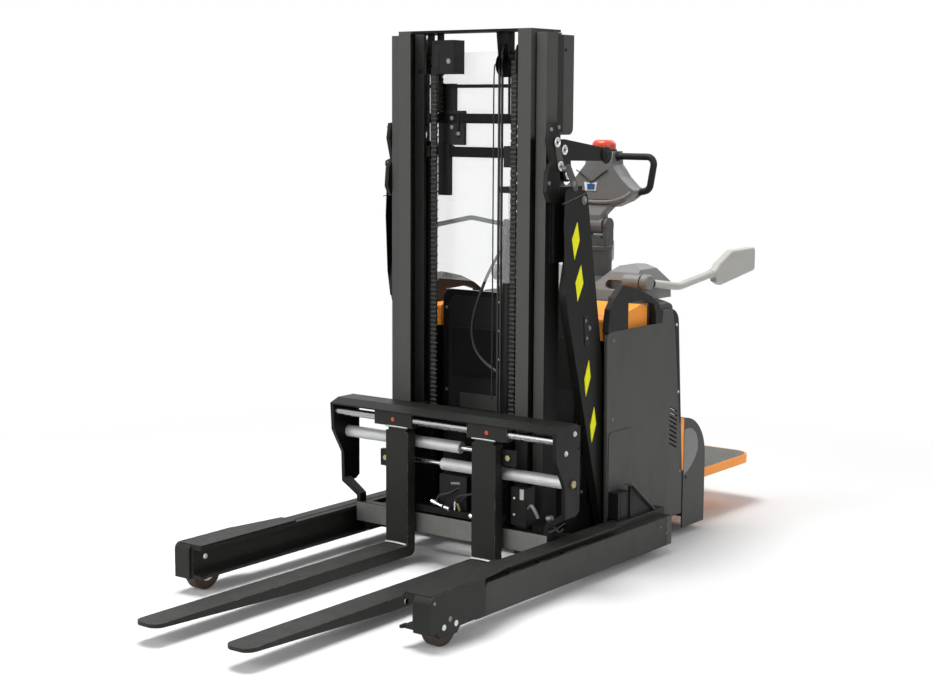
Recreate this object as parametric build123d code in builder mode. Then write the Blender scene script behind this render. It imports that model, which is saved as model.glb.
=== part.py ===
from build123d import *
import os

# Electric straddle stacker with a mast that reaches along its legs, in millimetres.
# +X points at the fork tips, +Y to the driver's left, +Z up, and the floor is Z = 0.

# Driving places and widths
HEEL_X = 235.0  # front face of the fork shanks
FORK_LENGTH = 1200.0
PLATFORM_REAR_X = -1435.0
OUTER_HALF_WIDTH = 332.0
LINK_OUTER_Y = OUTER_HALF_WIDTH + 18.0
ARM_OUTER_Y = LINK_OUTER_Y + 36.0
PANEL_THICKNESS = 12.0
BODY_HALF_WIDTH = ARM_OUTER_Y + 12.0 + PANEL_THICKNESS
RAIL_INNER_Y = BODY_HALF_WIDTH + 18.0
RAIL_OUTER_Y = RAIL_INNER_Y + 47.0
SIDE_BOX_OUTER_Y = RAIL_OUTER_Y + 30.0
WHEEL_BOX_OUTER_Y = RAIL_OUTER_Y + 67.0

# Straddle legs: an inward-facing rail with a side box and a wheel box in front
LEG_FRONT_X = 974.0
LEG_REAR_X = -498.0
RAIL_BOTTOM_Z = 58.0
RAIL_TOP_Z = 165.0
RAIL_WALL = 10.0
SIDE_BOX_TOP_Z = 140.0
SIDE_BOX_BOTTOM_Z = 62.0
WHEEL_BOX_REAR_X = 701.0
WHEEL_BOX_TOP_Z = 170.0
WHEEL_BOX_BOTTOM_Z = 54.0
WHEEL_BOX_WALL = 11.0
WHEEL_BOX_ROUND = 22.0
LOBE_BOTTOM_Z = 36.0
LOBE_HALF_LENGTH = 58.0
TAPER_LENGTH = 60.0

# Load wheels
LOAD_WHEEL_R = 62.5
LOAD_WHEEL_WIDTH = 46.0
LOAD_WHEEL_X = 885.0
LOAD_AXLE_R = 10.0
LOAD_HUB_R = 34.0
WHEEL_SIDE_GAP = 5.0
AXLE_FIT = 0.05
TYRE_ROUND = 6.0

# Chassis body
BODY_FRONT_X = -205.0
PANEL_TOP_Z = 832.0
PANEL_STEP_X = -573.0
PANEL_CAP_Z = 877.0
PANEL_TOP_REAR_X = -684.0
PANEL_LOW_REAR_X = -735.0
PANEL_KNEE_Z = 253.0
PANEL_ROUND = 24.0
PANEL_CAP_ROUND = 58.0
FLOOR_PLATE_BOTTOM_Z = 70.0
FLOOR_PLATE_THICKNESS = 18.0
BATTERY_REAR_X = -494.0
BATTERY_HALF_WIDTH = LINK_OUTER_Y - 25.0
BATTERY_TOP_Z = 770.0
BATTERY_GAP = 6.0
BULKHEAD_THICKNESS = 8.0
BULKHEAD_TOP_Z = 940.0
BULKHEAD_CORNER = 42.0
SEAT_GAP = 0.3

# Vents cut in each side panel
VENT_COUNT = 9
VENT_PITCH_Z = 17.0
VENT_LENGTH = 62.0
VENT_WIDTH = 6.0
VENT_TILT = 24.0
VENT_CENTRE_X = -662.0
VENT_CENTRE_Z = 430.0

# Battery cover and arch guards
COVER_REAR_X = -505.0
ARCH_PLATE = 24.0
COVER_GAP = 5.0
COVER_HALF_WIDTH = BODY_HALF_WIDTH - ARCH_PLATE - COVER_GAP
COVER_NOTCH_X = -240.0
COVER_BOTTOM_Z = 800.0
COVER_TOP_Z = 880.0
COVER_CROWN_X = -462.0
COVER_CROWN_Z = 908.0
COVER_SLOPE = 92.0
COVER_ROUND = 14.0
COVER_HINGE_X = -524.0
COVER_HINGE_Z = 914.0
COVER_HINGE_Y = 250.0
COVER_KNUCKLE_R = 12.0
COVER_KNUCKLE_WIDTH = 40.0
COVER_PIN_R = 5.0
COVER_STRAP_HALF = 9.0
COVER_STRAP_DEPTH = 20.0
ARCH_FRONT_X = -194.0
ARCH_REAR_X = -562.0
ARCH_PEAK_X = -290.0
ARCH_PEAK_Z = 993.0
ARCH_POST_X = -328.0
ARCH_BAND = 42.0

# Rear housing and wheel skirt
HOOD_REAR_X = -838.0
HOOD_WALL = 6.0

HOOD_TOP_Z = 900.0
BAY_WALL_X = -560.0
SKIRT_REAR_X = -911.0
SKIRT_BOTTOM_Z = 28.0
SKIRT_TOP_Z = 452.0
SKIRT_ROUND = 165.0
SKIRT_CORNER = 45.0
TRIM_THICKNESS = 10.0

# Console and tiller
COLUMN_X = -765.0
COLUMN_R = 54.0
COLUMN_TOP_Z = 1085.0
CONSOLE_TOP_Z = 1036.0
CONSOLE_FRONT_X = -553.0
CONSOLE_REAR_X = -815.0
CONSOLE_HALF_WIDTH = BODY_HALF_WIDTH - 104.0
CONSOLE_VALLEY_Z = 952.0
CONSOLE_ROUND = 12.0
YOKE_TOP_Z = 1150.0
TILT_PIVOT_Z = 1162.0
TILLER_PIN_R = 16.0
HEAD_BOTTOM_Z = 1230.0
HEAD_TOP_Z = 1446.0
HEAD_HALF_WIDTH = 60.0
HEAD_DEPTH = 92.0
WING_HALF_WIDTH = 166.0
WING_TIP_Z = 1294.0
GRIP_TUBE_R = 13.0
GRIP_TOP_Z = 1427.0
GRIP_OUTER_Y = 224.0
GRIP_ROUND = 28.0
BUTTON_R = 46.0
BUTTON_TOP_Z = 1489.0

# Drive wheel and castor
DRIVE_X = -715.0
DRIVE_Y = 110.0
DRIVE_WHEEL_R = 115.0
DRIVE_WHEEL_WIDTH = 75.0
DRIVE_AXLE_R = 20.0
CASTOR_X = -720.0
CASTOR_Y = 140.0 - BODY_HALF_WIDTH
CASTOR_R = 75.0
CASTOR_WIDTH = 44.0
CASTOR_TRAIL = 34.0
CASTOR_AXLE_R = 9.0

# Platform
PLATFORM_FRONT_X = -925.0
PLATFORM_HALF_WIDTH = BODY_HALF_WIDTH - 60.0
PLATFORM_TOP_Z = 205.0
PLATFORM_THICKNESS = 34.0
PLATFORM_CORNER = 80.0
PLATFORM_HINGE_R = 9.0

# Side gates
GATE_PIVOT_X = -572.0
GATE_PIVOT_Z = 974.0
GATE_Y = CONSOLE_HALF_WIDTH + 29.0
GATE_TUBE_R = 15.0
PADDLE_FRONT_X = -1068.0
PADDLE_REAR_X = -1400.0
PADDLE_THICKNESS = 34.0
PADDLE_BOTTOM_Z = 923.0
PADDLE_TOP_Z = 1057.0

# Mast stages
OUTER_FRONT_X = 87.0
OUTER_DEPTH = 85.0
OUTER_FLANGE_INNER_Y = OUTER_HALF_WIDTH - 42.0
OUTER_WALL = 12.0
OUTER_TOP_Z = 1858.0
OUTER_BOTTOM_Z = 66.0
INNER_FRONT_X = 109.0
INNER_DEPTH = 89.0
INNER_OUTER_Y = OUTER_FLANGE_INNER_Y - 7.0
INNER_INNER_Y = INNER_OUTER_Y - 53.0
INNER_WALL = 12.0
INNER_TOP_Z = 1871.0
INNER_BOTTOM_Z = 78.0
CROSS_BAR_DEPTH = 20.0
GUARD_THICKNESS = 5.0
GUARD_BOTTOM_Z = 1000.0
GUARD_TOP_Z = 1800.0

# Mast base frame and its rollers in the leg rails
BASE_SIDE_Y = RAIL_INNER_Y - 8.0
BASE_PLATE = 14.0
BASE_FRONT_X = 140.0
BASE_REAR_X = -178.0
BASE_TOP_Z = 152.0
RAIL_ROLLER_R = 43.2
RAIL_ROLLER_WIDTH = 26.0
RAIL_ROLLER_X = (92.0, -132.0)

# Lift cylinders behind the outer rails, and chains
LIFT_X = -46.0
LIFT_Y = INNER_OUTER_Y - 21.0
LIFT_BARREL_R = 26.0
LIFT_ROD_R = 17.0
LIFT_BARREL_TOP_Z = 1490.0
ROD_FIT = 0.5
CARRIAGE_PLATE_Y = INNER_INNER_Y - 25.0
CHAIN_Y = CARRIAGE_PLATE_Y - 33.0
CHAIN_X = 62.0
CHAIN_WIDTH = 24.0
CHAIN_THICKNESS = 12.0
PULLEY_R = 24.0
PULLEY_Z = INNER_TOP_Z - 91.0
PULLEY_WIDTH = 34.0

# Two lift hoses over their own grooved wheel
HOSE_R = 4.5
HOSE_BEND_R = 29.0
HOSE_WHEEL_X = 41.0
HOSE_WHEEL_Z = INNER_TOP_Z - 118.0
HOSE_WHEEL_R = 42.0
HOSE_Y = (CHAIN_Y - 34.0, CHAIN_Y - 46.0)

# Fork carriage
END_PLATE_Y = RAIL_OUTER_Y + 17.0
END_PLATE = 14.0
CAP_TOP_Z = 565.0
CAP_FRONT_X = 246.0
CAP_REAR_X = 118.0
CAP_WALL = 8.0
GUIDE_ROD_X = 222.0
GUIDE_ROD_Z = 519.0
GUIDE_ROD_R = 14.0
LOWER_BAR_FRONT_X = 184.0
LOWER_BAR_DEPTH = 34.0
LOWER_BAR_BOTTOM_Z = 112.0
LOWER_BAR_TOP_Z = 184.0
LOWER_BAR_HALF = RAIL_INNER_Y - 8.0
CARRIAGE_ROLLER_R = 32.2

# Fork positioner: two opposed cylinders behind the shanks
CYLINDER_X = 160.0
CYLINDER_R = 21.0
CYLINDER_ROD_R = 9.0
CYLINDER_GLAND_Y = 40.0
UPPER_CYLINDER_Z = 435.0
LOWER_CYLINDER_Z = 368.0

# Forks
FORK_Y = 190.0
FORK_WIDTH = 100.0
FORK_THICKNESS = 40.0
FORK_TIP_THICKNESS = 12.0
FORK_TAPER_LENGTH = 640.0
FORK_TOP_Z = 71.0
SHANK_TOP_Z = 478.0
SLEEVE_WIDTH = 168.0
SLEEVE_Y = 205.0
SLEEVE_HALF_HEIGHT = 24.0
SLEEVE_DEPTH = 34.0

# Reach linkage: an arm from the chassis to the mast and a half-length link
ARM_FOOT_X = -257.0
ARM_FOOT_Z = 143.0
ARM_TOP_X = -64.0
ARM_TOP_Z = 1299.0
ARM_THICKNESS = 30.0
ARM_FOOT_WIDTH = 92.0
ARM_TOP_WIDTH = 56.0
ARM_BELLY_X = -55.0
ARM_BELLY_Z = 980.0
ARM_BELLY_WIDTH = 188.0
LINK_THICKNESS = 13.0
LINK_WIDTH = 74.0
LINKAGE_PIN_R = 15.0
PIN_FIT = 0.06
SLOT_SPARE = 14.0

# Upper levers on the mast head
LEVER_PIVOT = (2.0, 1469.0)
LEVER_REAR = (-270.0, 1448.0)
LEVER_LOW = (-20.0, 1385.0)
LEVER_THICKNESS = 16.0


def side(y):
    """Plane at this Y for an outline in X and Z; extrudes go towards -Y."""
    return Plane.XZ.offset(-y)


def cross(x):
    """Plane at this X for an outline in Y and Z; extrudes go towards +X."""
    return Plane.YZ.offset(x)


def level(z):
    """Plane at this Z for an outline in X and Y; extrudes go up."""
    return Plane.XY.offset(z)


# Straddle legs
LOBE_X = LOAD_WHEEL_X
SLOT_OUTER_Y = WHEEL_BOX_OUTER_Y - WHEEL_BOX_WALL

with BuildPart() as straddle_leg_left:
    # inward-facing rail
    with BuildSketch(cross(LEG_REAR_X)):
        with BuildLine():
            Polyline(
                (RAIL_INNER_Y, RAIL_BOTTOM_Z),
                (RAIL_OUTER_Y, RAIL_BOTTOM_Z),
                (RAIL_OUTER_Y, RAIL_TOP_Z),
                (RAIL_INNER_Y, RAIL_TOP_Z),
                (RAIL_INNER_Y, RAIL_TOP_Z - RAIL_WALL),
                (RAIL_OUTER_Y - RAIL_WALL, RAIL_TOP_Z - RAIL_WALL),
                (RAIL_OUTER_Y - RAIL_WALL, RAIL_BOTTOM_Z + RAIL_WALL),
                (RAIL_INNER_Y, RAIL_BOTTOM_Z + RAIL_WALL),
                close=True,
            )
        make_face()
    extrude(amount=LEG_FRONT_X - RAIL_WALL - LEG_REAR_X)
    # outboard side box, tapering out to the wheel box
    with BuildSketch(level(SIDE_BOX_BOTTOM_Z)):
        with BuildLine():
            Polyline(
                (LEG_REAR_X, RAIL_OUTER_Y),
                (WHEEL_BOX_REAR_X, RAIL_OUTER_Y),
                (WHEEL_BOX_REAR_X, WHEEL_BOX_OUTER_Y),
                (WHEEL_BOX_REAR_X - TAPER_LENGTH, SIDE_BOX_OUTER_Y),
                (LEG_REAR_X, SIDE_BOX_OUTER_Y),
                close=True,
            )
        make_face()
    extrude(amount=SIDE_BOX_TOP_Z - SIDE_BOX_BOTTOM_Z)
    # wheel box: solid outline with the wheel's bay cut out of it
    with BuildSketch(side(WHEEL_BOX_OUTER_Y)):
        with BuildLine():
            Polyline(
                (WHEEL_BOX_REAR_X, WHEEL_BOX_BOTTOM_Z),
                (LOBE_X - LOBE_HALF_LENGTH, WHEEL_BOX_BOTTOM_Z),
                (LOBE_X - LOBE_HALF_LENGTH + (WHEEL_BOX_BOTTOM_Z - LOBE_BOTTOM_Z), LOBE_BOTTOM_Z),
                (LOBE_X + LOBE_HALF_LENGTH - (WHEEL_BOX_BOTTOM_Z - LOBE_BOTTOM_Z), LOBE_BOTTOM_Z),
                (LOBE_X + LOBE_HALF_LENGTH, WHEEL_BOX_BOTTOM_Z),
                (LEG_FRONT_X, WHEEL_BOX_BOTTOM_Z),
                (LEG_FRONT_X, WHEEL_BOX_TOP_Z),
                (WHEEL_BOX_REAR_X, WHEEL_BOX_TOP_Z),
                close=True,
            )
        make_face()
    extrude(amount=WHEEL_BOX_OUTER_Y - RAIL_OUTER_Y)
    box_front_edges = (
        straddle_leg_left.edges()
        .filter_by(Axis.Y)
        .filter_by_position(Axis.X, LEG_FRONT_X - 1, LEG_FRONT_X + 1)
        .filter_by_position(Axis.Z, WHEEL_BOX_TOP_Z - 1, WHEEL_BOX_TOP_Z + 1)
    )
    fillet(box_front_edges, radius=WHEEL_BOX_ROUND)
    bay_length = LEG_FRONT_X - WHEEL_BOX_REAR_X - 2 * WHEEL_BOX_WALL
    with BuildSketch(level(0)):
        with Locations(((LEG_FRONT_X + WHEEL_BOX_REAR_X) / 2, (SLOT_OUTER_Y + RAIL_OUTER_Y) / 2)):
            Rectangle(bay_length, SLOT_OUTER_Y - RAIL_OUTER_Y)
    extrude(amount=WHEEL_BOX_TOP_Z - WHEEL_BOX_WALL, mode=Mode.SUBTRACT)
    # axle across the bay
    with BuildSketch(side(SLOT_OUTER_Y + 1)):
        with Locations((LOAD_WHEEL_X, LOAD_WHEEL_R)):
            Circle(LOAD_AXLE_R)
    extrude(amount=SLOT_OUTER_Y - RAIL_OUTER_Y + 2)
    # closing plate on the rear end
    with BuildSketch(cross(LEG_REAR_X)):
        with Locations(((RAIL_INNER_Y + RAIL_OUTER_Y) / 2, (RAIL_TOP_Z + RAIL_BOTTOM_Z) / 2)):
            Rectangle(RAIL_OUTER_Y - RAIL_INNER_Y, RAIL_TOP_Z - RAIL_BOTTOM_Z)
    extrude(amount=RAIL_WALL)
straddle_leg_left.part.label = "straddle_leg_left"

with BuildPart() as straddle_leg_right:
    mirror(straddle_leg_left.part, about=Plane.XZ)
straddle_leg_right.part.label = "straddle_leg_right"


def make_load_wheel(name, y_centre):
    """A load wheel with a bore that runs on the leg's axle."""
    with BuildPart() as wheel:
        with BuildSketch(side(y_centre + LOAD_WHEEL_WIDTH / 2)):
            with Locations((LOAD_WHEEL_X, LOAD_WHEEL_R)):
                Circle(LOAD_WHEEL_R)
        extrude(amount=LOAD_WHEEL_WIDTH)
        fillet(wheel.edges().filter_by(GeomType.CIRCLE), radius=TYRE_ROUND)
        with BuildSketch(side(y_centre + LOAD_WHEEL_WIDTH / 2 + 1)):
            with Locations((LOAD_WHEEL_X, LOAD_WHEEL_R)):
                Circle(LOAD_AXLE_R + AXLE_FIT)
        extrude(amount=LOAD_WHEEL_WIDTH + 2, mode=Mode.SUBTRACT)
    wheel.part.label = name
    return wheel.part


LOAD_WHEEL_Y = (SLOT_OUTER_Y + RAIL_OUTER_Y) / 2
load_wheels = [
    make_load_wheel("load_wheel_left", LOAD_WHEEL_Y),
    make_load_wheel("load_wheel_right", -LOAD_WHEEL_Y),
]

# Base frame: floor plates, side walls that carry the reach arms, drive bay bed and leg gussets
PIVOT_LUG_Y = LINK_OUTER_Y - LINK_THICKNESS
FLOOR_TOP_Z = FLOOR_PLATE_BOTTOM_Z + FLOOR_PLATE_THICKNESS
PANEL_INNER_Y = BODY_HALF_WIDTH - PANEL_THICKNESS
SIDE_WALL_TOP_Z = 205.0
GUSSET_FRONT_X = -281.0
GUSSET_REAR_X = -437.0
GUSSET_TOP_Z = 282.0
GUSSET_THICKNESS = 10.0
GUSSET_Y = 455.0
UPRIGHT_FRONT_X = -209.0
UPRIGHT_TOP_Z = 262.0
BED_BOTTOM_Z = 400.0
BED_THICKNESS = 14.0
BED_REAR_X = -834.0
BED_TOP_Z = BED_BOTTOM_Z + BED_THICKNESS
HOOD_BOTTOM_Z = BED_TOP_Z
STEER_BORE_R = 88.0
CASTOR_STEM_R = 16.0

with BuildPart() as base_frame:
    with BuildSketch(level(FLOOR_PLATE_BOTTOM_Z)):
        with Locations(((BODY_FRONT_X + LEG_REAR_X) / 2, 0)):
            Rectangle(BODY_FRONT_X - LEG_REAR_X, 2 * RAIL_INNER_Y)
        with Locations(((LEG_REAR_X + BAY_WALL_X) / 2, 0)):
            Rectangle(LEG_REAR_X - BAY_WALL_X, 2 * PANEL_INNER_Y)
    extrude(amount=FLOOR_PLATE_THICKNESS)
    for wall_y in (PIVOT_LUG_Y, -PIVOT_LUG_Y + LINK_THICKNESS):
        with BuildSketch(side(wall_y)):
            with BuildLine():
                Polyline(
                    (BODY_FRONT_X, FLOOR_PLATE_BOTTOM_Z),
                    (BODY_FRONT_X, SIDE_WALL_TOP_Z),
                    (LEG_REAR_X, SIDE_WALL_TOP_Z),
                    (LEG_REAR_X, FLOOR_PLATE_BOTTOM_Z),
                    close=True,
                )
            make_face()
        extrude(amount=LINK_THICKNESS)
    for pin_y in (ARM_OUTER_Y, -PIVOT_LUG_Y + 1):
        with BuildSketch(side(pin_y)):
            with Locations((ARM_FOOT_X, ARM_FOOT_Z)):
                Circle(LINKAGE_PIN_R)
        extrude(amount=ARM_OUTER_Y - PIVOT_LUG_Y + 1)
    for sign in (1, -1):
        with BuildSketch(side(sign * GUSSET_Y + GUSSET_THICKNESS / 2)):
            with BuildLine():
                Polyline(
                    (GUSSET_FRONT_X, RAIL_TOP_Z),
                    (GUSSET_REAR_X, RAIL_TOP_Z),
                    (GUSSET_FRONT_X, GUSSET_TOP_Z),
                    close=True,
                )
            make_face()
        extrude(amount=GUSSET_THICKNESS)
        with BuildSketch(level(RAIL_TOP_Z)):
            with Locations(((GUSSET_FRONT_X + UPRIGHT_FRONT_X) / 2, sign * (BODY_HALF_WIDTH + GUSSET_Y) / 2)):
                Rectangle(UPRIGHT_FRONT_X - GUSSET_FRONT_X, GUSSET_Y - BODY_HALF_WIDTH)
        extrude(amount=UPRIGHT_TOP_Z - RAIL_TOP_Z)
    # bulkhead in front of the battery, rounded above
    with BuildSketch(cross(BODY_FRONT_X - BULKHEAD_THICKNESS)) as bulkhead:
        with Locations((0, (BULKHEAD_TOP_Z + FLOOR_PLATE_BOTTOM_Z) / 2)):
            Rectangle(2 * (PIVOT_LUG_Y - LINK_THICKNESS), BULKHEAD_TOP_Z - FLOOR_PLATE_BOTTOM_Z)
        fillet(bulkhead.vertices().group_by(Axis.Y)[-1], radius=BULKHEAD_CORNER)
    extrude(amount=BULKHEAD_THICKNESS)
    # wall in front of the drive bay, and the bed over it
    with BuildSketch(level(FLOOR_TOP_Z)):
        with Locations((BAY_WALL_X + PANEL_THICKNESS / 2, 0)):
            Rectangle(PANEL_THICKNESS, 2 * PANEL_INNER_Y)
    extrude(amount=BED_TOP_Z - FLOOR_TOP_Z)
    with BuildSketch(level(BED_BOTTOM_Z)):
        with Locations(((BAY_WALL_X + BED_REAR_X) / 2, 0)):
            Rectangle(BAY_WALL_X - BED_REAR_X, 2 * PANEL_INNER_Y)
        with Locations((DRIVE_X, DRIVE_Y)):
            Circle(STEER_BORE_R, mode=Mode.SUBTRACT)
        with Locations((CASTOR_X, CASTOR_Y)):
            Circle(CASTOR_STEM_R + AXLE_FIT, mode=Mode.SUBTRACT)
    extrude(amount=BED_THICKNESS)
base_frame.part.label = "base_frame"

# Battery block behind the bulkhead
with BuildPart() as battery:
    with BuildSketch(level(FLOOR_TOP_Z)):
        with Locations(((BATTERY_REAR_X + BODY_FRONT_X - BULKHEAD_THICKNESS - BATTERY_GAP) / 2, 0)):
            Rectangle(
                BODY_FRONT_X - BULKHEAD_THICKNESS - BATTERY_GAP - BATTERY_REAR_X,
                2 * BATTERY_HALF_WIDTH - BATTERY_GAP,
            )
    extrude(amount=BATTERY_TOP_Z - FLOOR_TOP_Z)
battery.part.label = "battery"

# Side panels with slanted vents
with BuildPart() as side_panel_left:
    with BuildSketch(side(BODY_HALF_WIDTH)) as panel_outline:
        with BuildLine():
            Polyline(
                (BODY_FRONT_X, FLOOR_TOP_Z),
                (BODY_FRONT_X + 16, PANEL_TOP_Z),
                (PANEL_STEP_X + 6, PANEL_TOP_Z),
                (PANEL_STEP_X, PANEL_CAP_Z),
                (PANEL_TOP_REAR_X, PANEL_CAP_Z),
                (PANEL_LOW_REAR_X, PANEL_KNEE_Z),
                (PANEL_LOW_REAR_X, FLOOR_TOP_Z),
                close=True,
            )
        make_face()
        fillet(panel_outline.vertices().sort_by(Axis.X)[-1], radius=PANEL_ROUND)
        fillet(panel_outline.vertices().group_by(Axis.Y)[-1].sort_by(Axis.X)[0], radius=PANEL_CAP_ROUND)
        with Locations((VENT_CENTRE_X, VENT_CENTRE_Z)):
            with GridLocations(VENT_LENGTH, VENT_PITCH_Z, 1, VENT_COUNT):
                SlotOverall(VENT_LENGTH, VENT_WIDTH, rotation=VENT_TILT, mode=Mode.SUBTRACT)
    extrude(amount=PANEL_THICKNESS)
side_panel_left.part.label = "side_panel_left"

with BuildPart() as side_panel_right:
    mirror(side_panel_left.part, about=Plane.XZ)
side_panel_right.part.label = "side_panel_right"

# Battery cover: crowned on top, notched round the bulkhead
with BuildPart() as battery_cover:
    with BuildSketch(side(COVER_HALF_WIDTH)) as cover_outline:
        with BuildLine():
            Polyline(
                (BODY_FRONT_X, COVER_BOTTOM_Z),
                (BODY_FRONT_X, COVER_TOP_Z),
                (COVER_CROWN_X + COVER_SLOPE, COVER_TOP_Z + 6),
                (COVER_CROWN_X, COVER_CROWN_Z),
                (COVER_REAR_X, COVER_CROWN_Z - 8),
                (COVER_REAR_X, COVER_BOTTOM_Z),
                close=True,
            )
        make_face()
        fillet(cover_outline.vertices().group_by(Axis.X)[-1].sort_by(Axis.Y)[-1], radius=COVER_ROUND)
    extrude(amount=2 * COVER_HALF_WIDTH)
    with BuildSketch(level(COVER_BOTTOM_Z)):
        with Locations(((COVER_NOTCH_X + BODY_FRONT_X) / 2, 0)):
            Rectangle(BODY_FRONT_X - COVER_NOTCH_X, 2 * (PIVOT_LUG_Y - LINK_THICKNESS + 2 * COVER_GAP))
    extrude(amount=COVER_CROWN_Z - COVER_BOTTOM_Z, mode=Mode.SUBTRACT)
    # hinge knuckles over the edge of the rear housing
    for knuckle_y in (COVER_HINGE_Y, -COVER_HINGE_Y):
        with BuildSketch(side(knuckle_y + COVER_KNUCKLE_WIDTH / 2)) as knuckle:
            with BuildLine():
                Polyline(
                    (COVER_HINGE_X, COVER_HINGE_Z - COVER_STRAP_HALF),
                    (COVER_HINGE_X, COVER_HINGE_Z + COVER_STRAP_HALF),
                    (COVER_REAR_X + COVER_KNUCKLE_R, COVER_HINGE_Z + COVER_STRAP_HALF),
                    (COVER_REAR_X + COVER_STRAP_DEPTH, COVER_TOP_Z),
                    (COVER_REAR_X, COVER_TOP_Z),
                    (COVER_REAR_X, COVER_HINGE_Z - COVER_STRAP_HALF),
                    close=True,
                )
            make_face()
            with Locations((COVER_HINGE_X, COVER_HINGE_Z)):
                Circle(COVER_KNUCKLE_R)
                Circle(COVER_PIN_R + AXLE_FIT, mode=Mode.SUBTRACT)
        extrude(amount=COVER_KNUCKLE_WIDTH)
battery_cover.part.label = "battery_cover"

# Arch guards: a windowed plate on each side panel, as high as the cover's crown needs
ARCH_FOOT_Z = PANEL_TOP_Z + SEAT_GAP
ARCH_OUTLINE = (
    # x, z
    (ARCH_FRONT_X, ARCH_FOOT_Z),
    (ARCH_FRONT_X - 13, ARCH_PEAK_Z - 81),
    (ARCH_FRONT_X - 45, ARCH_PEAK_Z - 42),
    (ARCH_PEAK_X, ARCH_PEAK_Z),
    (ARCH_PEAK_X - 109, ARCH_PEAK_Z - 23),
    (ARCH_REAR_X + 77, ARCH_PEAK_Z - 56),
    (ARCH_REAR_X + 19, ARCH_PEAK_Z - 90),
    (ARCH_REAR_X, ARCH_PEAK_Z - 137),
    (ARCH_REAR_X, ARCH_FOOT_Z),
)
ARCH_WINDOW = (
    # x, z
    (ARCH_POST_X, ARCH_FOOT_Z - 1),
    (ARCH_POST_X, ARCH_PEAK_Z - 67),
    (ARCH_REAR_X + 133, ARCH_PEAK_Z - 64),
    (ARCH_REAR_X + 60, ARCH_PEAK_Z - 84),
    (ARCH_REAR_X + ARCH_BAND, ARCH_PEAK_Z - 128),
    (ARCH_REAR_X + ARCH_BAND, ARCH_FOOT_Z - 1),
)
with BuildPart() as arch_guard:
    for plate_y in (BODY_HALF_WIDTH, -BODY_HALF_WIDTH + ARCH_PLATE):
        with BuildSketch(side(plate_y)) as arch_outline:
            with BuildLine():
                Polyline(*ARCH_OUTLINE, close=True)
            make_face()
            fillet(arch_outline.vertices().filter_by(lambda v: v.Y > ARCH_FOOT_Z + 30), radius=COVER_ROUND)
            with BuildLine():
                Polyline(*ARCH_WINDOW, close=True)
            make_face(mode=Mode.SUBTRACT)
        extrude(amount=ARCH_PLATE)
arch_guard.part.label = "arch_guard"

# Rear housing: a shell with a rounded back, open at the bottom
HINGE_LUG_WIDTH = 16.0
HOOD_STRAIGHT_X = -660.0
HOOD_FRONT_X = -516.0
with BuildPart() as rear_housing:
    with BuildSketch(level(HOOD_BOTTOM_Z)) as hood_plan:
        with BuildLine():
            Polyline(
                (HOOD_STRAIGHT_X, PANEL_INNER_Y),
                (HOOD_FRONT_X, PANEL_INNER_Y),
                (HOOD_FRONT_X, -PANEL_INNER_Y),
                (HOOD_STRAIGHT_X, -PANEL_INNER_Y),
            )
            ThreePointArc(
                (HOOD_STRAIGHT_X, -PANEL_INNER_Y),
                (HOOD_REAR_X, 0),
                (HOOD_STRAIGHT_X, PANEL_INNER_Y),
            )
        make_face()
    extrude(amount=HOOD_TOP_Z - HOOD_BOTTOM_Z)
    fillet(rear_housing.faces().sort_by(Axis.Z)[-1].edges().filter_by(GeomType.CIRCLE), radius=24)
    with BuildSketch(level(HOOD_BOTTOM_Z)):
        offset(hood_plan.sketch, amount=-HOOD_WALL)
    extrude(amount=HOOD_TOP_Z - HOOD_BOTTOM_Z - 26, mode=Mode.SUBTRACT)
    # notches beside the arch guards' rear legs
    for sign in (1, -1):
        with BuildSketch(level(ARCH_FOOT_Z - COVER_GAP)):
            with Locations(((ARCH_REAR_X - COVER_GAP + HOOD_FRONT_X) / 2, sign * (COVER_HALF_WIDTH + PANEL_INNER_Y) / 2)):
                Rectangle(HOOD_FRONT_X - ARCH_REAR_X + COVER_GAP, PANEL_INNER_Y - COVER_HALF_WIDTH)
        extrude(amount=HOOD_TOP_Z - ARCH_FOOT_Z + COVER_GAP, mode=Mode.SUBTRACT)
    # lugs and pins for the battery cover's knuckles
    for knuckle_y in (COVER_HINGE_Y, -COVER_HINGE_Y):
        for lug_y in (
            knuckle_y + COVER_KNUCKLE_WIDTH / 2 + WHEEL_SIDE_GAP + HINGE_LUG_WIDTH,
            knuckle_y - COVER_KNUCKLE_WIDTH / 2 - WHEEL_SIDE_GAP,
        ):
            with BuildSketch(side(lug_y)):
                with Locations((COVER_HINGE_X, COVER_HINGE_Z)):
                    Circle(COVER_KNUCKLE_R)
                with Locations((COVER_HINGE_X - COVER_KNUCKLE_R, HOOD_TOP_Z)):
                    Rectangle(2 * COVER_KNUCKLE_R, 2)
                make_hull()
            extrude(amount=HINGE_LUG_WIDTH)
        with BuildSketch(side(knuckle_y + COVER_KNUCKLE_WIDTH / 2 + WHEEL_SIDE_GAP + 1)):
            with Locations((COVER_HINGE_X, COVER_HINGE_Z)):
                Circle(COVER_PIN_R)
        extrude(amount=COVER_KNUCKLE_WIDTH + 2 * WHEEL_SIDE_GAP + 2)
rear_housing.part.label = "rear_housing"

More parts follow.
